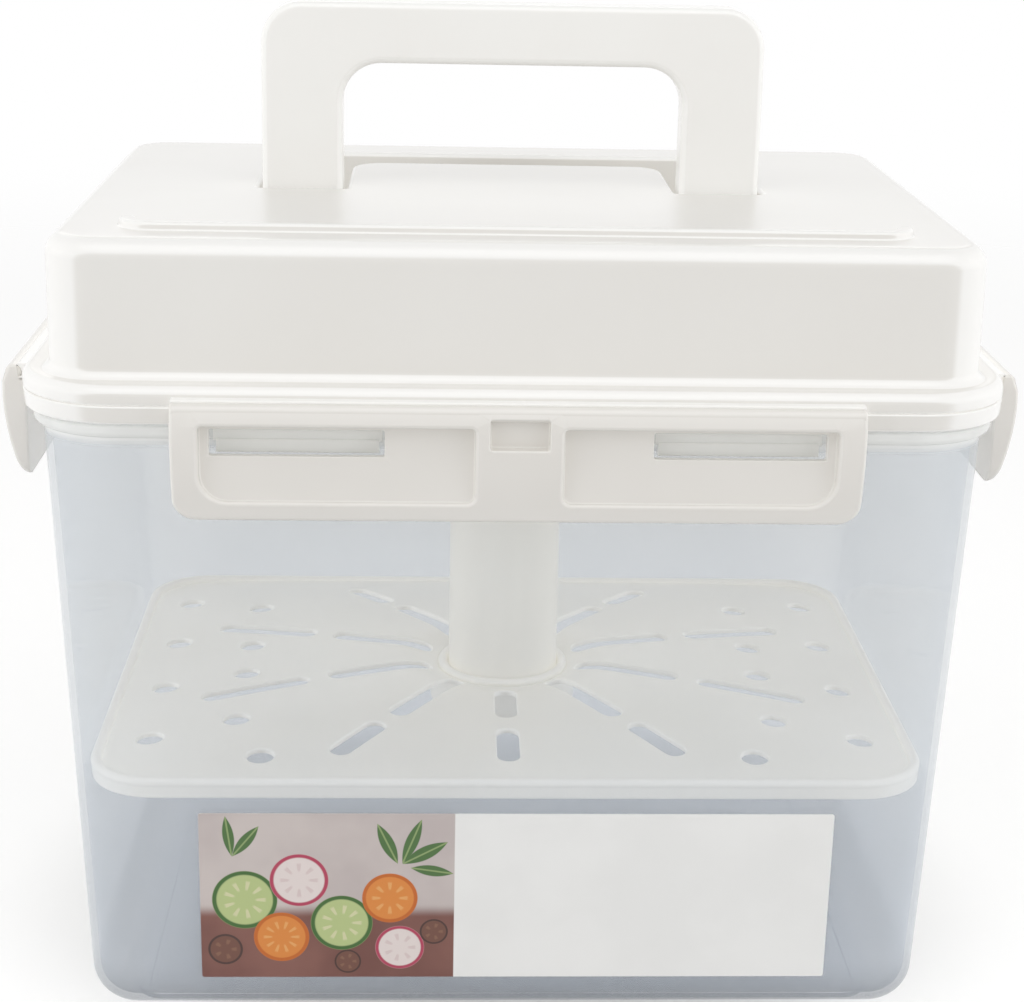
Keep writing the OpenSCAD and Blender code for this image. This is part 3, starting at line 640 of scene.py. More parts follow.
def clear_plastic():
    """See-through moulded plastic: a thin blue-grey veil that thickens towards grazing views, with painted
    shade low down and at the foot and a painted highlight on the flanks.
    """
    material, nodes, shader, position, surface = moulded(
        "clear_tub", cloud_scale=14.0, roughness=0.09, unevenness=0.06, ripple_scale=160.0, strength=0.15,
        ripple=0.1)
    tone = surface["Tone"]
    axes = nodes.axes(position)
    # Painted shade: the veil turns darker, bluer and thicker towards the bottom
    depth = nodes.rest(nodes.ramp(axes["Z"], 0.0, 0.12))
    # Painted shade at the foot: a dark tone and a thicker veil
    foot = nodes.rest(nodes.ramp(axes["Z"], 0.004, 0.018))
    # Painted highlight: the veil turns paler towards the sides
    flank_highlight = nodes.ramp(nodes.maths("ABSOLUTE", axes["X"]), 0.07, 0.105)
    middle = nodes.mix(depth, nodes.mix(tone, *VEIL_UPPER), nodes.mix(tone, *VEIL_LOWER_SHADED))
    sides = nodes.mix(nodes.times(flank_highlight, FLANK_HIGHLIGHT_SHARE), middle, VEIL_FLANK_HIGHLIGHT)
    veil = nodes.mix(foot, sides, VEIL_FOOT_SHADE)
    rim = nodes.times(nodes.ramp(axes["Z"], 0.152, 0.155), RIM_FROST)
    frost = nodes.maths("MAXIMUM", nodes.attribute("frost"), rim)
    facing = nodes.add("ShaderNodeLayerWeight", {"Blend": 0.5})["Facing"]
    grazing = nodes.maths("POWER", facing, GRAZING_POWER)
    thick = VEIL_BASE
    for share, weight in ((depth, 0.06), (tone, 0.03), (foot, 0.06), (grazing, 0.3), (frost, 0.55)):
        thick = nodes.added(share, weight, thick)
    nodes.feed(shader["Base Color"], nodes.mix(frost, veil, FROST_WHITE))
    nodes.feed(shader["Alpha"], thick)
    shader["IOR"].default_value = PLASTIC_IOR
    return material


def toned(name, deep, pale, metallic, **look):
    """A finish whose colour clouds between two tones, for the spring's wire and the seal."""
    material, nodes, shader, _, surface = moulded(name, **look)
    nodes.feed(shader["Base Color"], nodes.mix(surface["Tone"], deep, pale))
    shader["Metallic"].default_value = metallic
    return material


# Print on the label in mm from its lower left corner: slices as (x, z, radius, seeds, colours of rind, flesh
# and seeds), leaves as (x, z, turn, length, width), and pairs of tones
CUCUMBER = ((0.05, 0.13, 0.03, 1), (0.45, 0.53, 0.24, 1), (0.62, 0.62, 0.38, 1))
CARROT = ((0.52, 0.13, 0.02, 1), (0.68, 0.24, 0.05, 1), (0.74, 0.36, 0.12, 1))
RADISH = ((0.42, 0.05, 0.10, 1), (0.74, 0.66, 0.64, 1), (0.66, 0.55, 0.54, 1))
OLIVE = ((0.06, 0.03, 0.025, 1), (0.16, 0.07, 0.05, 1), (0.22, 0.11, 0.07, 1))
SLICES = ((11.0, 22.0, 8.2, 9.0, CUCUMBER), (24.5, 27.5, 7.4, 8.0, RADISH), (20.0, 11.5, 7.0, 10.0, CARROT),
          (35.0, 15.5, 7.8, 9.0, CUCUMBER), (47.0, 22.5, 7.0, 8.0, CARROT), (49.5, 8.5, 6.2, 7.0, RADISH),
          (6.0, 8.0, 4.4, 5.0, OLIVE), (58.0, 13.0, 3.6, 5.0, OLIVE), (36.5, 4.5, 3.4, 5.0, OLIVE))
LEAVES = ((50.0, 32.0, 0.5, 13.0, 1.9), (50.0, 32.0, 1.2, 13.5, 1.7), (49.0, 32.0, 2.0, 12.5, 1.8),
          (52.0, 31.0, -0.15, 11.0, 1.6), (8.0, 34.0, 0.9, 11.0, 1.6), (8.0, 34.0, 1.7, 11.5, 1.5))
LEAF_GREEN = (0.07, 0.15, 0.045, 1)
VEIN_GREEN = (0.25, 0.34, 0.14, 1)
WALL_TONES = ((0.50, 0.44, 0.43, 1), (0.58, 0.52, 0.50, 1))
BOARD_TONES = ((0.165, 0.067, 0.055, 1), (0.225, 0.10, 0.08, 1))
PAPER_TONES = ((0.80, 0.80, 0.79, 1), (0.83, 0.83, 0.82, 1))
BOARD_EDGE = (17.0, 21.0)
PICTURE_EDGE = (62.9, 63.1)


def label_paper():
    """Satin paper with a generic print of sliced vegetables and leaves, and bare paper beside it."""
    material, nodes, shader, position, surface = moulded(
        "label_paper", cloud_scale=40.0, roughness=0.42, unevenness=0.1, ripple_scale=1800.0, strength=0.2,
        ripple=0.05)
    tone = surface["Tone"]
    flat = nodes.vector("MULTIPLY", position, (1 / mm, 0, 1 / mm))
    spot = nodes.vector("SUBTRACT", flat, (label_low.x, 0, label_low.z))
    axes = nodes.axes(spot)
    above = nodes.ramp(axes["Z"], *BOARD_EDGE)
    colour = nodes.mix(above, nodes.mix(tone, *BOARD_TONES), nodes.mix(tone, *WALL_TONES))
    for x, z, turn, length, width in LEAVES:
        leaf = nodes.group(LEAF, {
            "Place": spot, "Base": (x, 0, z), "Turn": turn, "Length": length, "Width": width})
        colour = nodes.mix(leaf["Blade"], colour, LEAF_GREEN)
        colour = nodes.mix(leaf["Vein"], colour, VEIN_GREEN)
    for x, z, radius, seeds, (rind, flesh, seed) in SLICES:
        cut = nodes.group(SLICE, {"Place": spot, "Centre": (x, 0, z), "Radius": radius, "Seeds": seeds})
        for mask, paint in (("Disc", flesh), ("Seeds", seed), ("Rind", rind)):
            colour = nodes.mix(cut[mask], colour, paint)
    beside = nodes.ramp(axes["X"], *PICTURE_EDGE)
    nodes.feed(shader["Base Color"], nodes.mix(beside, colour, nodes.mix(tone, *PAPER_TONES)))
    return material


# Camera, floor and light

def photo_camera():
    """Camera at the photograph's angle, with its frame and its shift."""
    ahead = Vector((math.sin(YAW) * math.cos(PITCH), math.cos(YAW) * math.cos(PITCH), -math.sin(PITCH)))
    right = Vector((math.cos(YAW), -math.sin(YAW), 0))
    down = ahead.cross(right)
    across = math.cos(ROLL) * right + math.sin(ROLL) * down
    up = math.sin(ROLL) * right - math.cos(ROLL) * down
    turn = Matrix((across, up, -ahead)).transposed()
    camera = show(bpy.data.objects.new("photo_camera", bpy.data.cameras.new("photo_camera")))
    camera.matrix_world = Matrix.Translation(EYE) @ turn.to_4x4()
    camera.data.sensor_width = SENSOR_W
    camera.data.lens = FOCAL_PX * SENSOR_W / PHOTO_W
    camera.data.shift_x = (PHOTO_W / 2 - AXIS_PX[0]) / PHOTO_W
    camera.data.shift_y = (AXIS_PX[1] - PHOTO_H / 2) / PHOTO_W
    camera.data.clip_start = 10 * mm
    scene.camera = camera


def empty_nodes(owner):
    """Nodes of a material or world that starts with none."""
    owner.use_nodes = True
    owner.node_tree.nodes.clear()
    return Nodes(owner.node_tree)


def seen_directly(nodes):
    """1 for rays that show the background: straight from the camera, mirrored or let through."""
    path = nodes.add("ShaderNodeLightPath")
    mirrored = nodes.maths("ADD", path["Is Camera Ray"], path["Is Glossy Ray"])
    return nodes.maths("ADD", mirrored, path["Is Transmission Ray"])


# Floor and surroundings, in metres but for the drop in mm
FLOOR_R = 1.5
FLOOR_DROP = 0.2
FLOOR_FADE = (0.5, 1.4)
FLOOR_GLOW = 0.32
# The floor glows only past this reach, which leaves a painted shadow under the tub
GLOW_PAST_SHADOW = (0.06, 0.15)
FLOOR_GREY = (0.78, 0.78, 0.78, 1)
EVEN_WHITE = (1.0, 0.995, 0.985, 1)


def studio_floor():
    """Pale disc under the object that fades out into the white surroundings, with a painted shadow under the
    tub where its glow is left out.
    """
    shape = bmesh.new()
    bmesh.ops.create_circle(shape, cap_ends=True, radius=FLOOR_R, segments=96)
    bmesh.ops.translate(shape, verts=shape.verts[:], vec=(0, 0, -FLOOR_DROP * mm))
    floor = mesh_piece("studio_floor", shape)
    material = bpy.data.materials.new("studio_floor")
    nodes = empty_nodes(material)
    reach = nodes.length(nodes.position())
    # No glow near the middle: a painted shadow under the tub
    glow = nodes.times(nodes.times(seen_directly(nodes), FLOOR_GLOW), nodes.ramp(reach, *GLOW_PAST_SHADOW))
    matt = nodes.first("ShaderNodeBsdfDiffuse", {"Color": FLOOR_GREY})
    light = nodes.first("ShaderNodeEmission", {"Strength": glow})
    both = nodes.first("ShaderNodeAddShader", {0: matt, 1: light})
    away = nodes.first("ShaderNodeBsdfTransparent")
    ground = nodes.first("ShaderNodeMixShader", {0: nodes.ramp(reach, *FLOOR_FADE), 1: both, 2: away})
    nodes.add("ShaderNodeOutputMaterial", {"Surface": ground})
    floor.data.materials.append(material)


def studio_world():
    """White surroundings for what is seen, and a lower even light for everything that is lit."""
    world = bpy.data.worlds.new("studio_world")
    nodes = empty_nodes(world)
    even = nodes.first("ShaderNodeBackground", {"Color": EVEN_WHITE, "Strength": AMBIENT})
    white = nodes.first("ShaderNodeBackground", {"Color": (1, 1, 1, 1), "Strength": 1.0})
    both = nodes.first("ShaderNodeMixShader", {0: seen_directly(nodes), 1: even, 2: white})
    nodes.add("ShaderNodeOutputWorld", {"Surface": both})
    scene.world = world


def studio_light():
    """Broad softboxes at both sides, one high in front and one behind."""
    for name, at, (width, height), power, mirrored in LAMPS:
        lamp = bpy.data.lights.new(name, "AREA")
        lamp.shape = "RECTANGLE"
        lamp.size = width
        lamp.size_y = height
        lamp.energy = power
        holder = show(bpy.data.objects.new(name, lamp))
        holder.location = at
        holder.visible_glossy = mirrored
        holder.rotation_mode = "QUATERNION"
        holder.rotation_quaternion = (LAMP_AIM - Vector(at)).to_track_quat("-Z", "Y")


# Tub with label, ribs, seal and spring: driving sizes in mm
TUB_CORNER = 20.0
TUB_AXES = (93.0, 63.0)
TUB_WALL = 1.8
TUB_LEAN = math.atan(8.0 / 160.5)
RIM_ROUND = 0.6
FLOOR_FILLET = 10.0
FOOT_H = 1.5
FOOT_AXES = (88.0, 58.0)
FOOT_OUT = 7.0
FOOT_IN = 4.0
BEAD_TOP = 158.5
BEAD_LOW = 155.5
BEAD_OUT = 22.0
BEAD_ROUND = 1.5
BEAD_ROOT = 0.5
LABEL_T = 0.2
LABEL_ROUND = 0.6
LABEL_EDGE = 0.04
RIB_MID = 21.45
RIB_LOW = 153.0
RIB_STEP = 156.4
RIB_OVERLAP = 0.8
RIB_LONG = 38.8
RIB_LONG_AT = 50.9
RIB_SHORT = 23.8
RIB_SHORT_AT = 35.9
RIB_UPPER_D = 2.9
RIB_LOWER_D = 3.9
RIB_LOWER_INSET = 1.4
RIB_ROUND = 0.6
SEAL_W = 5.2
SEAL_ROUND = 0.8
WIRE_D = 1.2
SPRING_TURNS = 14.0


def tub_wall_at(height):
    """Distance of the tub's outer wall from the corner axes at a height."""
    return TUB_CORNER - (tub_rim - height) * math.tan(TUB_LEAN)


def make_tub():
    """Thin leaning wall with rounded rim, rim bead, rounded floor and foot ring."""
    lean = math.degrees(TUB_LEAN)
    wall = TUB_WALL / math.cos(TUB_LEAN)
    centre_z = FOOT_H + FLOOR_FILLET
    centre = tub_wall_at(centre_z) - FLOOR_FILLET / math.cos(TUB_LEAN)
    inner = arc(centre, centre_z, FLOOR_FILLET - TUB_WALL, -90, -lean, 8)
    lip = bevel(TUB_CORNER - wall, tub_rim, RIM_ROUND, 180, 90)
    lip += bevel(TUB_CORNER, tub_rim, RIM_ROUND, 90, 0)
    above, below = BEAD_TOP + BEAD_ROOT, BEAD_LOW - BEAD_ROOT
    bead = ([(tub_wall_at(above), above), (tub_wall_at(BEAD_TOP) + 0.4, BEAD_TOP)]
            + bevel(BEAD_OUT, BEAD_TOP, RIM_ROUND, 90, 0) + bevel(BEAD_OUT, BEAD_LOW, BEAD_ROUND, 0, -90)
            + [(tub_wall_at(BEAD_LOW) + 0.4, BEAD_LOW), (tub_wall_at(below), below)])
    outer = arc(centre, centre_z, FLOOR_FILLET, -lean, -90, 10)
    rings = carry(corner_axes(*TUB_AXES), inner + lip + bead + outer)
    rings += carry(corner_axes(*FOOT_AXES),
                   [(FOOT_OUT, FOOT_H)] + hem(FOOT_OUT, FOOT_IN, 0.0, 0.4, 3) + [(FOOT_IN, FOOT_H)])
    tub = Shell().skin(rings).cap(rings[0]).cap(rings[-1])
    install(tub.finish("tub_shell"), "tub", "tub", CLEAR)


def make_label():
    """Thin paper on the tub's leaning front wall."""
    edge = outline(rectangle(label_low.x, label_low.z, label_high.x, label_high.z, LABEL_ROUND, LABEL_ROUND))
    shell = Shell(lambda x, z, out: (x, -TUB_AXES[1] - tub_wall_at(z) - out / math.cos(TUB_LEAN), z))
    rings = carry(edge, [(0, 0.0), (0, LABEL_T - LABEL_EDGE), (-LABEL_EDGE, LABEL_T)])
    shell.skin(rings).field(rings[0], spacing=8.0).field(rings[-1], spacing=8.0)
    install(shell.finish("front_label_sheet"), "tub", "front_label", label_paper())


def make_ribs():
    """Catch ribs under the rim, two on each side, each from two tiers of rounded bars set out on points."""
    def build(nodes, given):
        tiers = nodes.tree.nodes.new("GeometryNodeJoinGeometry")
        for tier in ("Upper", "Lower"):
            depth, height = given[tier + " Depth"], given[tier + " Height"]
            section = nodes.rounded_frame(depth, height, given["Rounding"], 4)
            for side, turn in (("Long", 0.0), ("Short", math.pi / 2)):
                length = nodes.maths("SUBTRACT", given[side + " Length"], given[tier + " Inset"])
                half = nodes.times(length, 0.5)
                start = nodes.first("ShaderNodeCombineXYZ", {0: nodes.times(half, -1.0)})
                end = nodes.first("ShaderNodeCombineXYZ", {0: half})
                line = nodes.first("GeometryNodeCurvePrimitiveLine", {"Start": start, "End": end})
                spots = nodes.first("GeometryNodeMeshGrid", {
                    "Size X": given[side + " Span X"], "Size Y": given[side + " Span Y"],
                    "Vertices X": 2, "Vertices Y": 2})
                bars = nodes.first("GeometryNodeInstanceOnPoints", {
                    "Points": spots, "Instance": nodes.swept(line, section, True), "Rotation": (0, 0, turn)})
                level = nodes.first("ShaderNodeCombineXYZ", {2: given[tier + " Level"]})
                nodes.feed(tiers.inputs[0], nodes.shifted(bars, level))
        bars = nodes.first("GeometryNodeRealizeInstances", {0: tiers.outputs[0]})
        return nodes.first("GeometryNodeStoreNamedAttribute", {
            "Geometry": bars, "Name": "frost", "Value": given["Frost"]})

    step = RIB_STEP - RIB_OVERLAP
    sizes = {"Rounding": RIB_ROUND, "Long Length": RIB_LONG, "Short Length": RIB_SHORT,
             "Long Span X": 2 * RIB_LONG_AT, "Long Span Y": 2 * (TUB_AXES[1] + RIB_MID),
             "Short Span X": 2 * (TUB_AXES[0] + RIB_MID), "Short Span Y": 2 * RIB_SHORT_AT,
             "Upper Depth": RIB_UPPER_D, "Upper Height": BEAD_TOP - step, "Upper Inset": 0.0,
             "Upper Level": (BEAD_TOP + step) / 2,
             "Lower Depth": RIB_LOWER_D, "Lower Height": RIB_STEP - RIB_LOW, "Lower Inset": RIB_LOWER_INSET,
             "Lower Level": (RIB_STEP + RIB_LOW) / 2}
    values = {label: size * mm for label, size in sizes.items()}
    ribs = nodes_piece("tub_catch_ribs", CLEAR, build, {**values, "Frost": 1.0})
    install(ribs, "tub", "tub", CLEAR)


def make_seal():
    """Silicone ring in the channel under the brim, swept round its rounded path."""
    def build(nodes, given):
        run = nodes.rounded_frame(given["Width"], given["Depth"], given["Corner"], 16)
        run = nodes.first("GeometryNodeSetCurveNormal", {"Curve": run}, mode="Z_UP")
        section = nodes.rounded_frame(given["Section Width"], given["Section Height"], given["Rounding"], 4)
        return nodes.shifted(nodes.swept(run, section), given["Middle"])

    middle = seal_high.x - TUB_AXES[0] - SEAL_W / 2
    finish = toned("seal_silicone", (0.60, 0.61, 0.60, 1), (0.70, 0.71, 0.70, 1), 0.0, cloud_scale=60.0,
                   roughness=0.55, unevenness=0.15, ripple_scale=900.0, strength=0.3, ripple=0.08)
    seal = nodes_piece("lid_seal_ring", finish, build, {
        "Width": 2 * (TUB_AXES[0] + middle) * mm, "Depth": 2 * (TUB_AXES[1] + middle) * mm,
        "Corner": middle * mm, "Section Width": SEAL_W * mm,
        "Section Height": (seal_high.z - seal_low.z) * mm, "Rounding": SEAL_ROUND * mm,
        "Middle": (0, 0, (seal_high.z + seal_low.z) / 2 * mm)})
    install(seal, "lid", "lid_seal", finish)


def make_spring():
    """Coiled wire between the column's foot and the lid."""
    def build(nodes, given):
        coil = nodes.first("GeometryNodeCurveSpiral", {
            "Resolution": 28, "Rotations": given["Turns"], "Start Radius": given["Coil Radius"],
            "End Radius": given["Coil Radius"], "Height": given["Height"]})
        section = nodes.first("GeometryNodeCurvePrimitiveCircle", {
            "Resolution": 12, "Radius": given["Wire Radius"]})
        return nodes.shifted(nodes.swept(coil, section, True), given["Foot"])

    wire = WIRE_D / 2
    finish = toned("spring_steel", (0.47, 0.47, 0.48, 1), (0.60, 0.60, 0.61, 1), 1.0, cloud_scale=90.0,
                   roughness=0.3, unevenness=0.2, ripple_scale=2500.0, strength=0.3, ripple=0.05)
    spring = nodes_piece("press_spring_wire", finish, build, {
        "Turns": SPRING_TURNS, "Coil Radius": (spring_high.x - wire) * mm, "Wire Radius": wire * mm,
        "Foot": (0, 0, (spring_low.z + wire) * mm), "Height": (spring_high.z - spring_low.z - WIRE_D) * mm})
    install(spring, "lid", "press_spring", finish)
    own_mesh(spring)


# Lid: driving sizes in mm
BLOCK_AXES = (98.0, 68.0)
BLOCK_OUT = 12.0
TOP_FILLET = 4.8
LID_TOP = 201.0
LID_UNDER = 198.6
LID_WALL = 2.2
BRIM_TOP = 168.5
BRIM_LOW = 164.9
BRIM_OUT = 24.2
BRIM_FILLET = 2.5
STEP_TOP = 164.1
STEP_IN = 23.3
STEP_LOW = 163.8
BAND_OUT = 24.15
SKIRT_OUT = 23.8
SKIRT_IN = 21.8
SKIRT_LOW = 159.5
LIP_OUT = 16.0
LIP_IN = 14.2
LIP_LOW = 157.5
WALL_ROUND = 0.5
RIDGE_H = 2.0
RECESS_FLOOR = 186.8
RECESS_LIP = 1.5
TRAY_WALL = 2.0
RECESS = bow(66.2, 43.2, -3.4, 42.5, 60.1, 1.0, 9.0, 11.5)
RIDGE = [(-94.0, -59.0, 1.6), (-94.0, -68.0, 8.0), (94.0, -68.0, 8.0), (94.0, -59.0, 1.6),
         (90.0, -59.0, 1.6), (90.0, -64.0, 4.0), (-90.0, -64.0, 4.0), (-90.0, -59.0, 1.6)]
PIVOT = (3.4, 193.2)
BOSS_R = 6.0
BOSS_START = 67.2
BOSS_END = 70.0
SOCKET_IN = 10.2
SOCKET_OUT = 12.6
SOCKET_LOW = 190.0
SOCKET_ROOT = 199.0
LEDGE_UP = 2.2
LEDGE_TIP = 1.0
LEDGE_DOWN = 1.8
LEDGE_IN = 5.9
GROOVE_R = 2.2


def lid_rings():
    """Rings of the lid from the edge of its top over block, brim, skirt and lip to its underside."""
    block = corner_axes(*BLOCK_AXES)
    outside = (bevel(BLOCK_OUT, LID_TOP, TOP_FILLET, 90, 0, 8)
               + bevel(BLOCK_OUT, BRIM_TOP, BRIM_FILLET, 180, 270, 6))
    edge = (bevel(BRIM_OUT, BRIM_TOP, BRIM_FILLET, 90, 0, 6) + bevel(BRIM_OUT, STEP_TOP, 0.3, 0, -90, 3)
            + [(STEP_IN, STEP_TOP), (STEP_IN, STEP_LOW)] + bevel(BAND_OUT, STEP_LOW, WALL_ROUND, 90, 0)
            + hem(SKIRT_OUT, SKIRT_IN, SKIRT_LOW, WALL_ROUND) + [(SKIRT_IN, BRIM_LOW), (LIP_OUT, BRIM_LOW)]
            + hem(LIP_OUT, LIP_IN, LIP_LOW, WALL_ROUND) + [(LIP_IN, BRIM_LOW)])
    hollow = arc(BLOCK_OUT - TOP_FILLET, LID_TOP - TOP_FILLET, TOP_FILLET - LID_WALL, 0, 90, 6)
    rings = carry(block, outside) + carry(corner_axes(*TUB_AXES), edge)
    return rings + carry(block, [(BLOCK_OUT - LID_WALL, BRIM_TOP)] + hollow)


def flap_lift(name, quarter):
    """Turns a place measured from a flap's hinge line, as (along, drop, inward), into the frame."""
    pivot = Vector(joint_named(name + "_flap_hinge")["pos_m"]) / mm
    turn = Matrix.Rotation(math.radians(90 * quarter), 3, "Z")
    reach = math.hypot(pivot.x, pivot.y)
    return lambda along, drop, inward: turn @ Vector((along, inward - reach, pivot.z + drop))


def add_ledge(shell, half, lift):
    """Adds the grooved ledge that a flap's hinge bead turns in."""
    low = math.degrees(math.asin(LEDGE_DOWN / GROOVE_R))
    high = math.degrees(math.acos(LEDGE_TIP / GROOVE_R))
    section = (arc(0, 0, GROOVE_R, -low, high, 8) + bevel(LEDGE_TIP, LEDGE_UP, 0.6, 180, 90)
               + [(LEDGE_IN, LEDGE_UP), (LEDGE_IN, -LEDGE_DOWN)])
    ends = [[tuple(lift(along, drop, inward)) for inward, drop in section] for along in (-half, half)]
    shell.skin(ends).cap(ends[0]).cap(ends[1])


def make_lid():
    """Lid with recess for the handle, tray, stacking ridge, pivot bosses, socket and hinge ledges."""
    shell = Shell()
    rings = lid_rings()
    recess = outline(RECESS)
    pocket = carry(recess, bevel(0, LID_TOP, RECESS_LIP, 90, 180, 6) + bevel(0, RECESS_FLOOR, 0.8, 0, -90))
    raised = carry(outline(RIDGE), bevel(0, LID_TOP, 0.5, -90, -180, 3)
                   + bevel(0, LID_TOP + RIDGE_H, 1.0, 0, 90, 5))
    tray = carry(recess, bevel(TRAY_WALL, LID_UNDER, 0.6, 90, 180, 3)
                 + bevel(TRAY_WALL, RECESS_FLOOR - TRAY_WALL, 0.8, 0, -90, 3))
    shell.skin(rings).skin(pocket).skin(raised).skin(tray)
    shell.field(rings[0], [pocket[0], raised[0]], spacing=9.0)
    shell.field(pocket[-1], spacing=8.0)
    shell.field(raised[-1], spacing=2.0)
    shell.field(rings[-1], [tray[0]], spacing=12.0)
    shell.field(tray[-1], spacing=8.0)
    for side in (-1, 1):
        boss = sorted((side * BOSS_START, side * BOSS_END))
        shell.skin(rod_rings(*boss, BOSS_R, 0.5, PIVOT))
    socket = carry(circle(), hem(SOCKET_OUT, SOCKET_IN, SOCKET_LOW, WALL_ROUND)
                   + [(SOCKET_IN, SOCKET_ROOT), (SOCKET_OUT, SOCKET_ROOT)])
    shell.skin(socket + socket[:1])
    for name, size, quarter in FLAPS:
        add_ledge(shell, size[0] / 2, flap_lift(name, quarter))
    finish = plastic("lid_white", LID_WHITE, cloud_scale=9.0, ripple=0.05, scuffing=0.05)
    let_through(finish, LID_TINT, "Is Shadow Ray")
    install(shell.finish_edged("lid_shell"), "lid", "lid", finish)


# Latch flaps: driving sizes in mm, measured from the hinge line
LONG_FLAP = (159.0, 40.0)
SHORT_FLAP = (114.0, 25.0)
FLAPS = (("front", LONG_FLAP, 0), ("right", SHORT_FLAP, 1), ("rear", LONG_FLAP, 2), ("left", SHORT_FLAP, 3))
FLAP_DROP = 26.5
FLAP_CORNER = 5.5
FLAP_BACK = 3.0
FLAP_BULGE = 2.9
BULGE_DROP = 4.0
CURVE_ABOVE = 10.0
CURVE_BELOW = 60.0
FACE_TOP = 1.8
STRIP_BACK = 0.95
STRIP_LOW = -2.4
PANEL_BACK = 0.9
PANEL_TOP = -3.1
PANEL_LIP = 1.1
FINGER_BAND = 5.0
END_BAND = 6.4
MID_BAND = 10.2
WINDOW_TOP = -4.4
WINDOW_H = 6.3
WINDOW_IN = 2.2
WINDOW_EDGE = 0.25
NOTCH_HALF = 6.8
NOTCH_TOP = -0.95
NOTCH_LOW = -7.95
NOTCH_BACK = 0.2
HINGE_R = 1.9
BEAD_INSET = 0.3


def flap_front(_, drop):
    """Depth of a flap's curved front, which is thickest a little below the hinge."""
    curve = CURVE_ABOVE if drop > -BULGE_DROP else CURVE_BELOW
    return curve - FLAP_BULGE - math.sqrt(curve ** 2 - (drop + BULGE_DROP) ** 2)


def flap_waist(x, drop):
    """Depth of the step at the back of a flap's top, which stays inside the hinge bead."""
    bead = math.sqrt(HINGE_R ** 2 - max(0.0, drop) ** 2)
    return max(min(STRIP_BACK, bead), flap_front(x, drop) + 1.0)


def shortened(drop):
    """Place on the back of a flap, which ends below its top strip, for a place on its front."""
    return drop + STRIP_LOW * max(0.0, 1 + 2 * drop / FLAP_DROP)


def flap_panel(side, half, window):
    """Outlines of the recessed panel at one side of a flap and of its window."""
    near, far = MID_BAND, half - END_BAND
    low = FINGER_BAND - FLAP_DROP
    panel = [(near, low, 2.0), (far, low, 6.5), (far, PANEL_TOP, 1.0), (near, PANEL_TOP, 1.0)]
    start = far - WINDOW_IN - window
    hole = rectangle(start, WINDOW_TOP - WINDOW_H, start + window, WINDOW_TOP, 0.5, 0.5)
    if side < 0:
        panel, hole = [[(-x, y, r) for x, y, r in reversed(corners)] for corners in (panel, hole)]
    return outline(panel, 4.0), outline(hole, 4.0)


def flap_shell(size, lift):
    """A latch flap with two recessed, windowed panels, a middle pocket and a hinge bead."""
    length, window = size
    half = length / 2
    shell = Shell(lift)
    face = outline(rectangle(-half, -FLAP_DROP, half, FACE_TOP, FLAP_CORNER, 0.6), 4.0)
    rear = [(Vector((spot.x, shortened(spot.y))), normal) for spot, normal in face]
    rim = carry(face, bevel(0, 0, 1.0, 270, 360), flap_front)
    step = carry(face, [(0, 0)], flap_waist) + carry(rear, [(0, 0.35)], flap_waist)
    back = carry(rear, bevel(0, FLAP_BACK, 0.5, 0, 90, 3))
    shell.skin(rim + step + back)
    fronts, windows = [], []
    for side in (-1, 1):
        recess, hole = flap_panel(side, half, window)
        panel = (carry(recess, bevel(0, 0, PANEL_LIP, 270, 180, 5), flap_front)
                 + carry(recess, bevel(0, PANEL_BACK, 0.4, 0, 90, 3)))
        opening = carry(hole, bevel(0, PANEL_BACK, WINDOW_EDGE, 270, 180, 2)
                        + bevel(0, FLAP_BACK, WINDOW_EDGE, 180, 90, 2))
        shell.skin(panel).skin(opening)
        shell.field(panel[-1], [opening[0]], spacing=4.0)
        fronts.append(panel[0])
        windows.append(opening[-1])
    pocket = outline(rectangle(-NOTCH_HALF, NOTCH_LOW, NOTCH_HALF, NOTCH_TOP, 0.6, 0.6), 3.0)
    notch = (carry(pocket, bevel(0, 0, 0.5, 270, 180), flap_front)
             + carry(pocket, bevel(0, NOTCH_BACK, 0.4, 0, 90, 3)))
    shell.skin(notch).field(notch[-1], spacing=4.0)
    shell.skin(rod_rings(BEAD_INSET - half, half - BEAD_INSET, HINGE_R, 0.4))
    shell.field(rim[0], [*fronts, notch[0]], flap_front, 3.0)
    shell.field(back[-1], windows, spacing=6.0)
    return shell


def make_flaps():
    """The four latch flaps, each from its hinge line."""
    # Darker tones of the lid's plastic, as painted shade
    finish = plastic("flap_white", FLAP_WHITE_SHADED, cloud_scale=16.0, ripple=0.05, scuffing=0.06)
    let_through(finish, FLAP_TINT, "Is Shadow Ray")
    for name, size, quarter in FLAPS:
        node = name + "_flap"
        piece = flap_shell(size, flap_lift(name, quarter)).finish_edged(node + "_shell")
        install(piece, node, node, finish)


# Handle: driving sizes in mm
HANDLE_HALF = 65.2
LEG_W = 21.0
GRIP_H = 15.6
HANDLE_ROUND = 2.0
STUD_R = 3.0
STUD_ROOT = 6.0


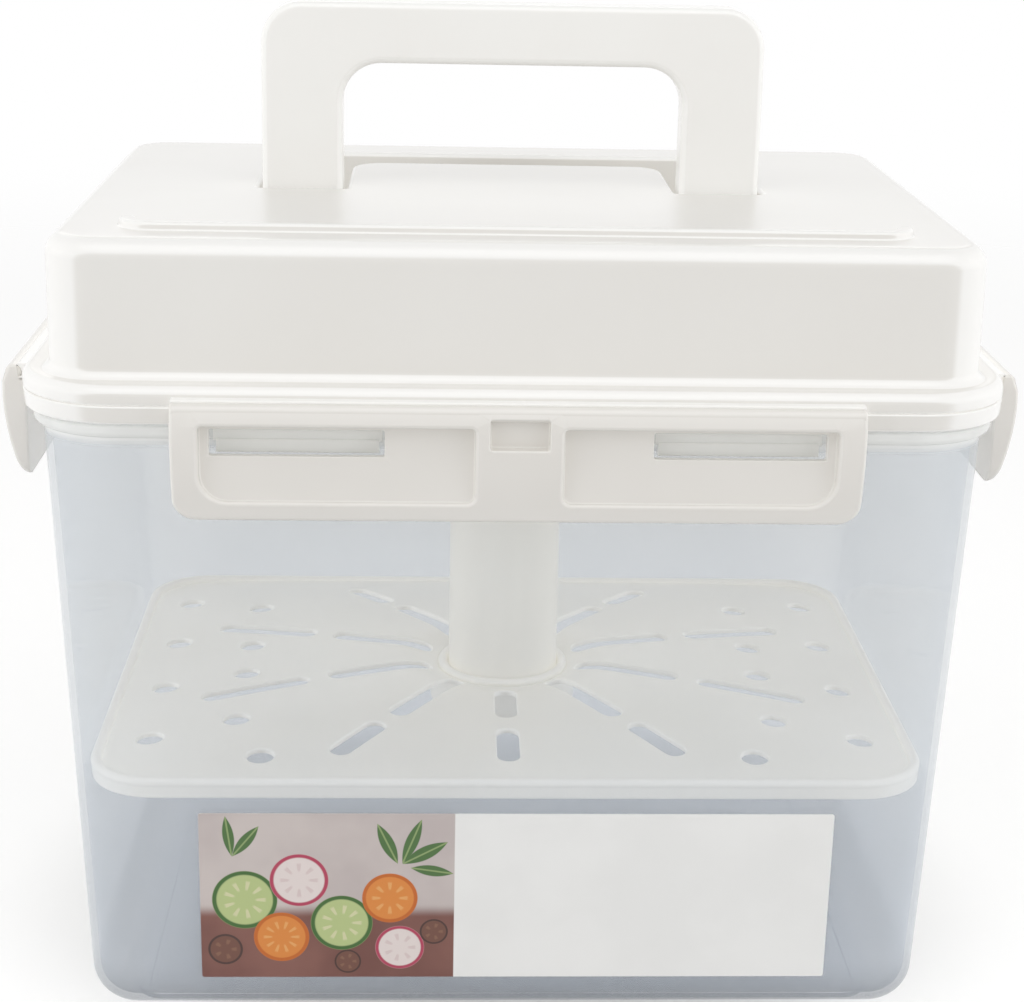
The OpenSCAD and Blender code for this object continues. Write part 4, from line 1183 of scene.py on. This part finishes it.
def make_handle():
    """Handle with a flat front, rounded edges, rounded feet and pivot studs."""
    y, z = PIVOT
    half_t = (handle_high.y - handle_low.y) / 2
    top = handle_high.z
    inner = HANDLE_HALF - LEG_W
    frame_path = outline(bow(HANDLE_HALF, inner, z, top - GRIP_H, top, 2.6, 10.0, 10.5))
    section = bevel(0, -half_t, HANDLE_ROUND, -90, 0, 6) + bevel(0, half_t, HANDLE_ROUND, 0, 90, 6)
    rings = carry(frame_path, section)
    shell = Shell(lambda u, v, w: (u, y + w, v))
    shell.skin(rings).field(rings[0], spacing=7.0).field(rings[-1], spacing=7.0)
    for side in (-1, 1):
        foot = sorted((side * inner, side * HANDLE_HALF))
        stud = sorted((side * (HANDLE_HALF - STUD_ROOT), side * handle_high.x))
        shell.skin(rod_rings(*foot, half_t, 1.5, (z, 0))).skin(rod_rings(*stud, STUD_R, 0.4, (z, 0)))
    # Paler tones of the lid's plastic, as painted light
    finish = plastic("handle_white", HANDLE_WHITE_LIT, cloud_scale=14.0, ripple=0.05, scuffing=0.06)
    install(shell.finish_edged("carry_handle_shell"), "handle", "carry_handle", finish)


# Press: driving sizes in mm
PLATE_CORNER = 17.0
BEAD_PROUD = 0.3
BEAD_R = 1.4
PLATE_T = 2.2
FIELD_T = 1.5
PLATE_EDGE = 3.8
PLATE_RISE = 9.6
COLLAR_DROP = 3.0
COLLAR_FLOOR = 2.0
COLLAR_R = 15.2
COLLAR_OUT = 20.0
COLLAR_BEAD = (16.65, 67.8, 1.3)
DIP_START = 31.0
DIP_END = 18.15
DIP_DEPTH = 3.0
COLUMN_R = 15.0
COLUMN_BORE = 13.0
COLUMN_FLOOR = 2.0
GUIDE_R = 10.0
GUIDE_BORE = 8.0
BUSH_BORE = 10.3
BUSH_R = 12.8
BUSH_FLANGE = 3.0
STOP_R = 12.7
STOP_H = 3.5
SLOT_W = 5.8
SLOT_ROUND = 0.985
HOLE_R = 3.5

# Slots as (start, end) from the middle, those towards front and back and the others: the outer ones start
# at a distance and end short of the rim
MID_SLOT = (25.8, 42.0)
MID_SLOT_OUTER = 48.0
MID_SLOT_SHORT = 11.0
RAY_SLOT = (20.8, 50.0)
RAY_SLOT_OUTER = 55.5
RAY_SLOT_SHORT = 20.0
RAYS = 10

# Holes as (distance from the rim at the side, places along it), and the one at the front
HOLE_ROWS = ((13.3, (-49.5, -16.5, 16.5, 49.5)), (34.7, (-41.2, -10.3, 10.3, 41.2)))
FRONT_HOLE = (62.5, 13.5)

plate_z = plate_low.z + COLLAR_DROP
plate_rim_z = plate_z + PLATE_EDGE
plate_half = (plate_high.x - BEAD_PROUD, plate_high.y - BEAD_PROUD)


def plate_top(x, y):
    """Height of the plate's pillowed upper face, which dips towards the collar."""
    across = abs(x) / plate_half[0]
    along = abs(y) / plate_half[1]
    fall = (across ** 6 + along ** 6) ** (1 / 3)
    near = max(0.0, DIP_START - math.hypot(x, y)) / (DIP_START - DIP_END)
    return plate_rim_z + (PLATE_RISE - PLATE_EDGE) * (1 - fall) - DIP_DEPTH * near ** 2.2


def plate_under(x, y):
    """Height of the plate's lower face."""
    return plate_top(x, y) - FIELD_T


def slot_outline(angle, start, end):
    """Outline of a round-ended slot that points away from the middle."""
    half = SLOT_W / 2
    corners = rectangle(start, -half, end, half, SLOT_ROUND * half, SLOT_ROUND * half)
    spots = [(turned(Vector((x, y)), angle), radius) for x, y, radius in corners]
    return outline([(spot.x, spot.y, radius) for spot, radius in spots], 4.0)


def drain_openings():
    """Outlines of the plate's slots and holes."""
    openings = []
    reach_w, reach_d = plate_half
    for ray in range(RAYS):
        step = ray % (RAYS // 2)
        if step == 0:
            spans = (MID_SLOT, (MID_SLOT_OUTER, reach_d - MID_SLOT_SHORT))
        else:
            end = reach_w - RAY_SLOT_SHORT if step in (2, 3) else reach_d
            spans = (RAY_SLOT, (RAY_SLOT_OUTER, end))
        angle = math.radians(360 / RAYS * ray - 90)
        openings += [slot_outline(angle, *span) for span in spans]
    spots = [(reach_w - short, y) for short, row in HOLE_ROWS for y in row]
    spots.append((FRONT_HOLE[0], FRONT_HOLE[1] - reach_d))
    for side in (-1, 1):
        openings += [[(Vector((side * x, y)) + normal * HOLE_R, normal) for _, normal in circle(28)]
                     for x, y in spots]
    return openings


def make_plate():
    """Pillowed press plate with a rolled rim, rounded slots and holes, and a collar with its bead."""
    shell = Shell()
    half_w, half_d = plate_half
    rim_path = outline(rectangle(-half_w, -half_d, half_w, half_d, PLATE_CORNER, PLATE_CORNER), 4.0)
    over = carry(rim_path, [(-3.4, 0.0), (-2.5, -0.05)], plate_top)
    bead = carry(rim_path, arc(BEAD_PROUD - BEAD_R, plate_rim_z, BEAD_R, 160, -38, 12)
                 + hem(0, -PLATE_T, plate_z, 0.4, 3))
    below = carry(rim_path, [(-PLATE_T, -0.4), (-PLATE_T - 0.4, 0.0)], plate_under)
    round_axis = circle()
    r, z, thick = COLLAR_BEAD
    seat = plate_low.z + COLLAR_FLOOR
    dip = carry(round_axis, [(COLLAR_OUT - 0.1, 0.0), (19.0, 0.0), (DIP_END, 0.0)], plate_top)
    collar = carry(round_axis, arc(r, z, thick, -35, 190, 12) + [(COLLAR_R, z - 1.0), (COLLAR_R, seat)]
                   + bevel(COLUMN_BORE, seat, 0.4, 90, 180, 3)
                   + bevel(COLUMN_BORE, plate_low.z, 0.4, 180, 270, 3)
                   + bevel(COLLAR_OUT, plate_low.z, 0.5, -90, 0, 3))
    root = carry(round_axis, [(COLLAR_OUT, 0.0)], plate_under)
    shell.skin(over + bead + below).skin(dip + collar + root)
    upper_holes, lower_holes = [dip[0]], [root[0]]
    for opening in drain_openings():
        lip = carry(opening, bevel(0, 0, 0.5, 90, 180), plate_top)
        foot = carry(opening, bevel(0, 0, 0.25, 180, 270, 2), plate_under)
        shell.skin(lip + foot)
        upper_holes.append(lip[0])
        lower_holes.append(foot[-1])
    shell.field(over[0], upper_holes, plate_top, 4.0)
    shell.field(below[-1], lower_holes, plate_under, 5.0)
    install(shell.finish_edged("press_plate_shell"), "press", "press_plate", PRESS)


def turned_piece(name, profile, closed=True):
    """A round piece from a profile of (radius, height) points, which is closed or ends on the axis."""
    rings = carry(circle(96), profile)
    return Shell().skin(rings + rings[:1] if closed else rings).finish(name)


def make_column():
    """Column with a closed foot, bush and guide tube with its stop flange."""
    low, high = column_low.z, column_high.z
    floor = low + COLUMN_FLOOR
    column = ([(0, low)] + bevel(COLUMN_R, low, 0.6, -90, 0) + bevel(COLUMN_R, high, 0.6, 0, 90)
              + bevel(COLUMN_BORE, high, 0.4, 90, 180) + bevel(COLUMN_BORE, floor, 1.0, 0, -90)
              + [(0, floor)])
    column = turned_piece("press_column_shell", column, closed=False)
    install(column, "press", "press_column", PRESS)
    low, high = bush_low.z, bush_high.z
    flange = high - BUSH_FLANGE
    bush = (bevel(BUSH_R, low, 0.8, -90, 0) + [(BUSH_R, flange)] + bevel(COLUMN_R, flange, 0.4, -90, 0, 3)
            + bevel(COLUMN_R, high, 0.6, 0, 90) + bevel(BUSH_BORE, high, 0.6, 90, 180)
            + bevel(BUSH_BORE, low, 0.4, 180, 270))
    finish = plastic("bush_white", BUSH_WHITE, cloud_scale=30.0, ripple=0.12, scuffing=0.08, roughness=0.35)
    install(turned_piece("column_bush_shell", bush), "press", "column_bush", finish)
    low, high = guide_low.z, guide_high.z
    stop = low + STOP_H
    guide = (bevel(STOP_R, low, 0.6, -90, 0) + bevel(STOP_R, stop, 0.4, 0, 90) + [(GUIDE_R, stop)]
             + bevel(GUIDE_R, high, 0.4, 0, 90) + bevel(GUIDE_BORE, high, 0.3, 90, 180)
             + bevel(GUIDE_BORE, low, 0.3, 180, 270))
    install(turned_piece("guide_tube_shell", guide), "lid", "guide_tube", PRESS)


CLEAR = let_through(clear_plastic(), TUB_TINT, "Is Shadow Ray", "Is Diffuse Ray")
# Warmer tones than the lid's, made paler as painted light
PRESS = plastic("press_white", PRESS_WHITE_LIT, cloud_scale=18.0, ripple=0.15, scuffing=0.06, gloss=0.3)
let_through(PRESS, PRESS_TINT, "Is Shadow Ray")

photo_camera()
studio_floor()
studio_world()
studio_light()
make_tub()
make_label()
make_ribs()
make_seal()
make_spring()
make_lid()
make_flaps()
make_handle()
make_plate()
make_column()

scene.view_settings.view_transform = "Standard"
scene.cycles.transparent_max_bounces = 24
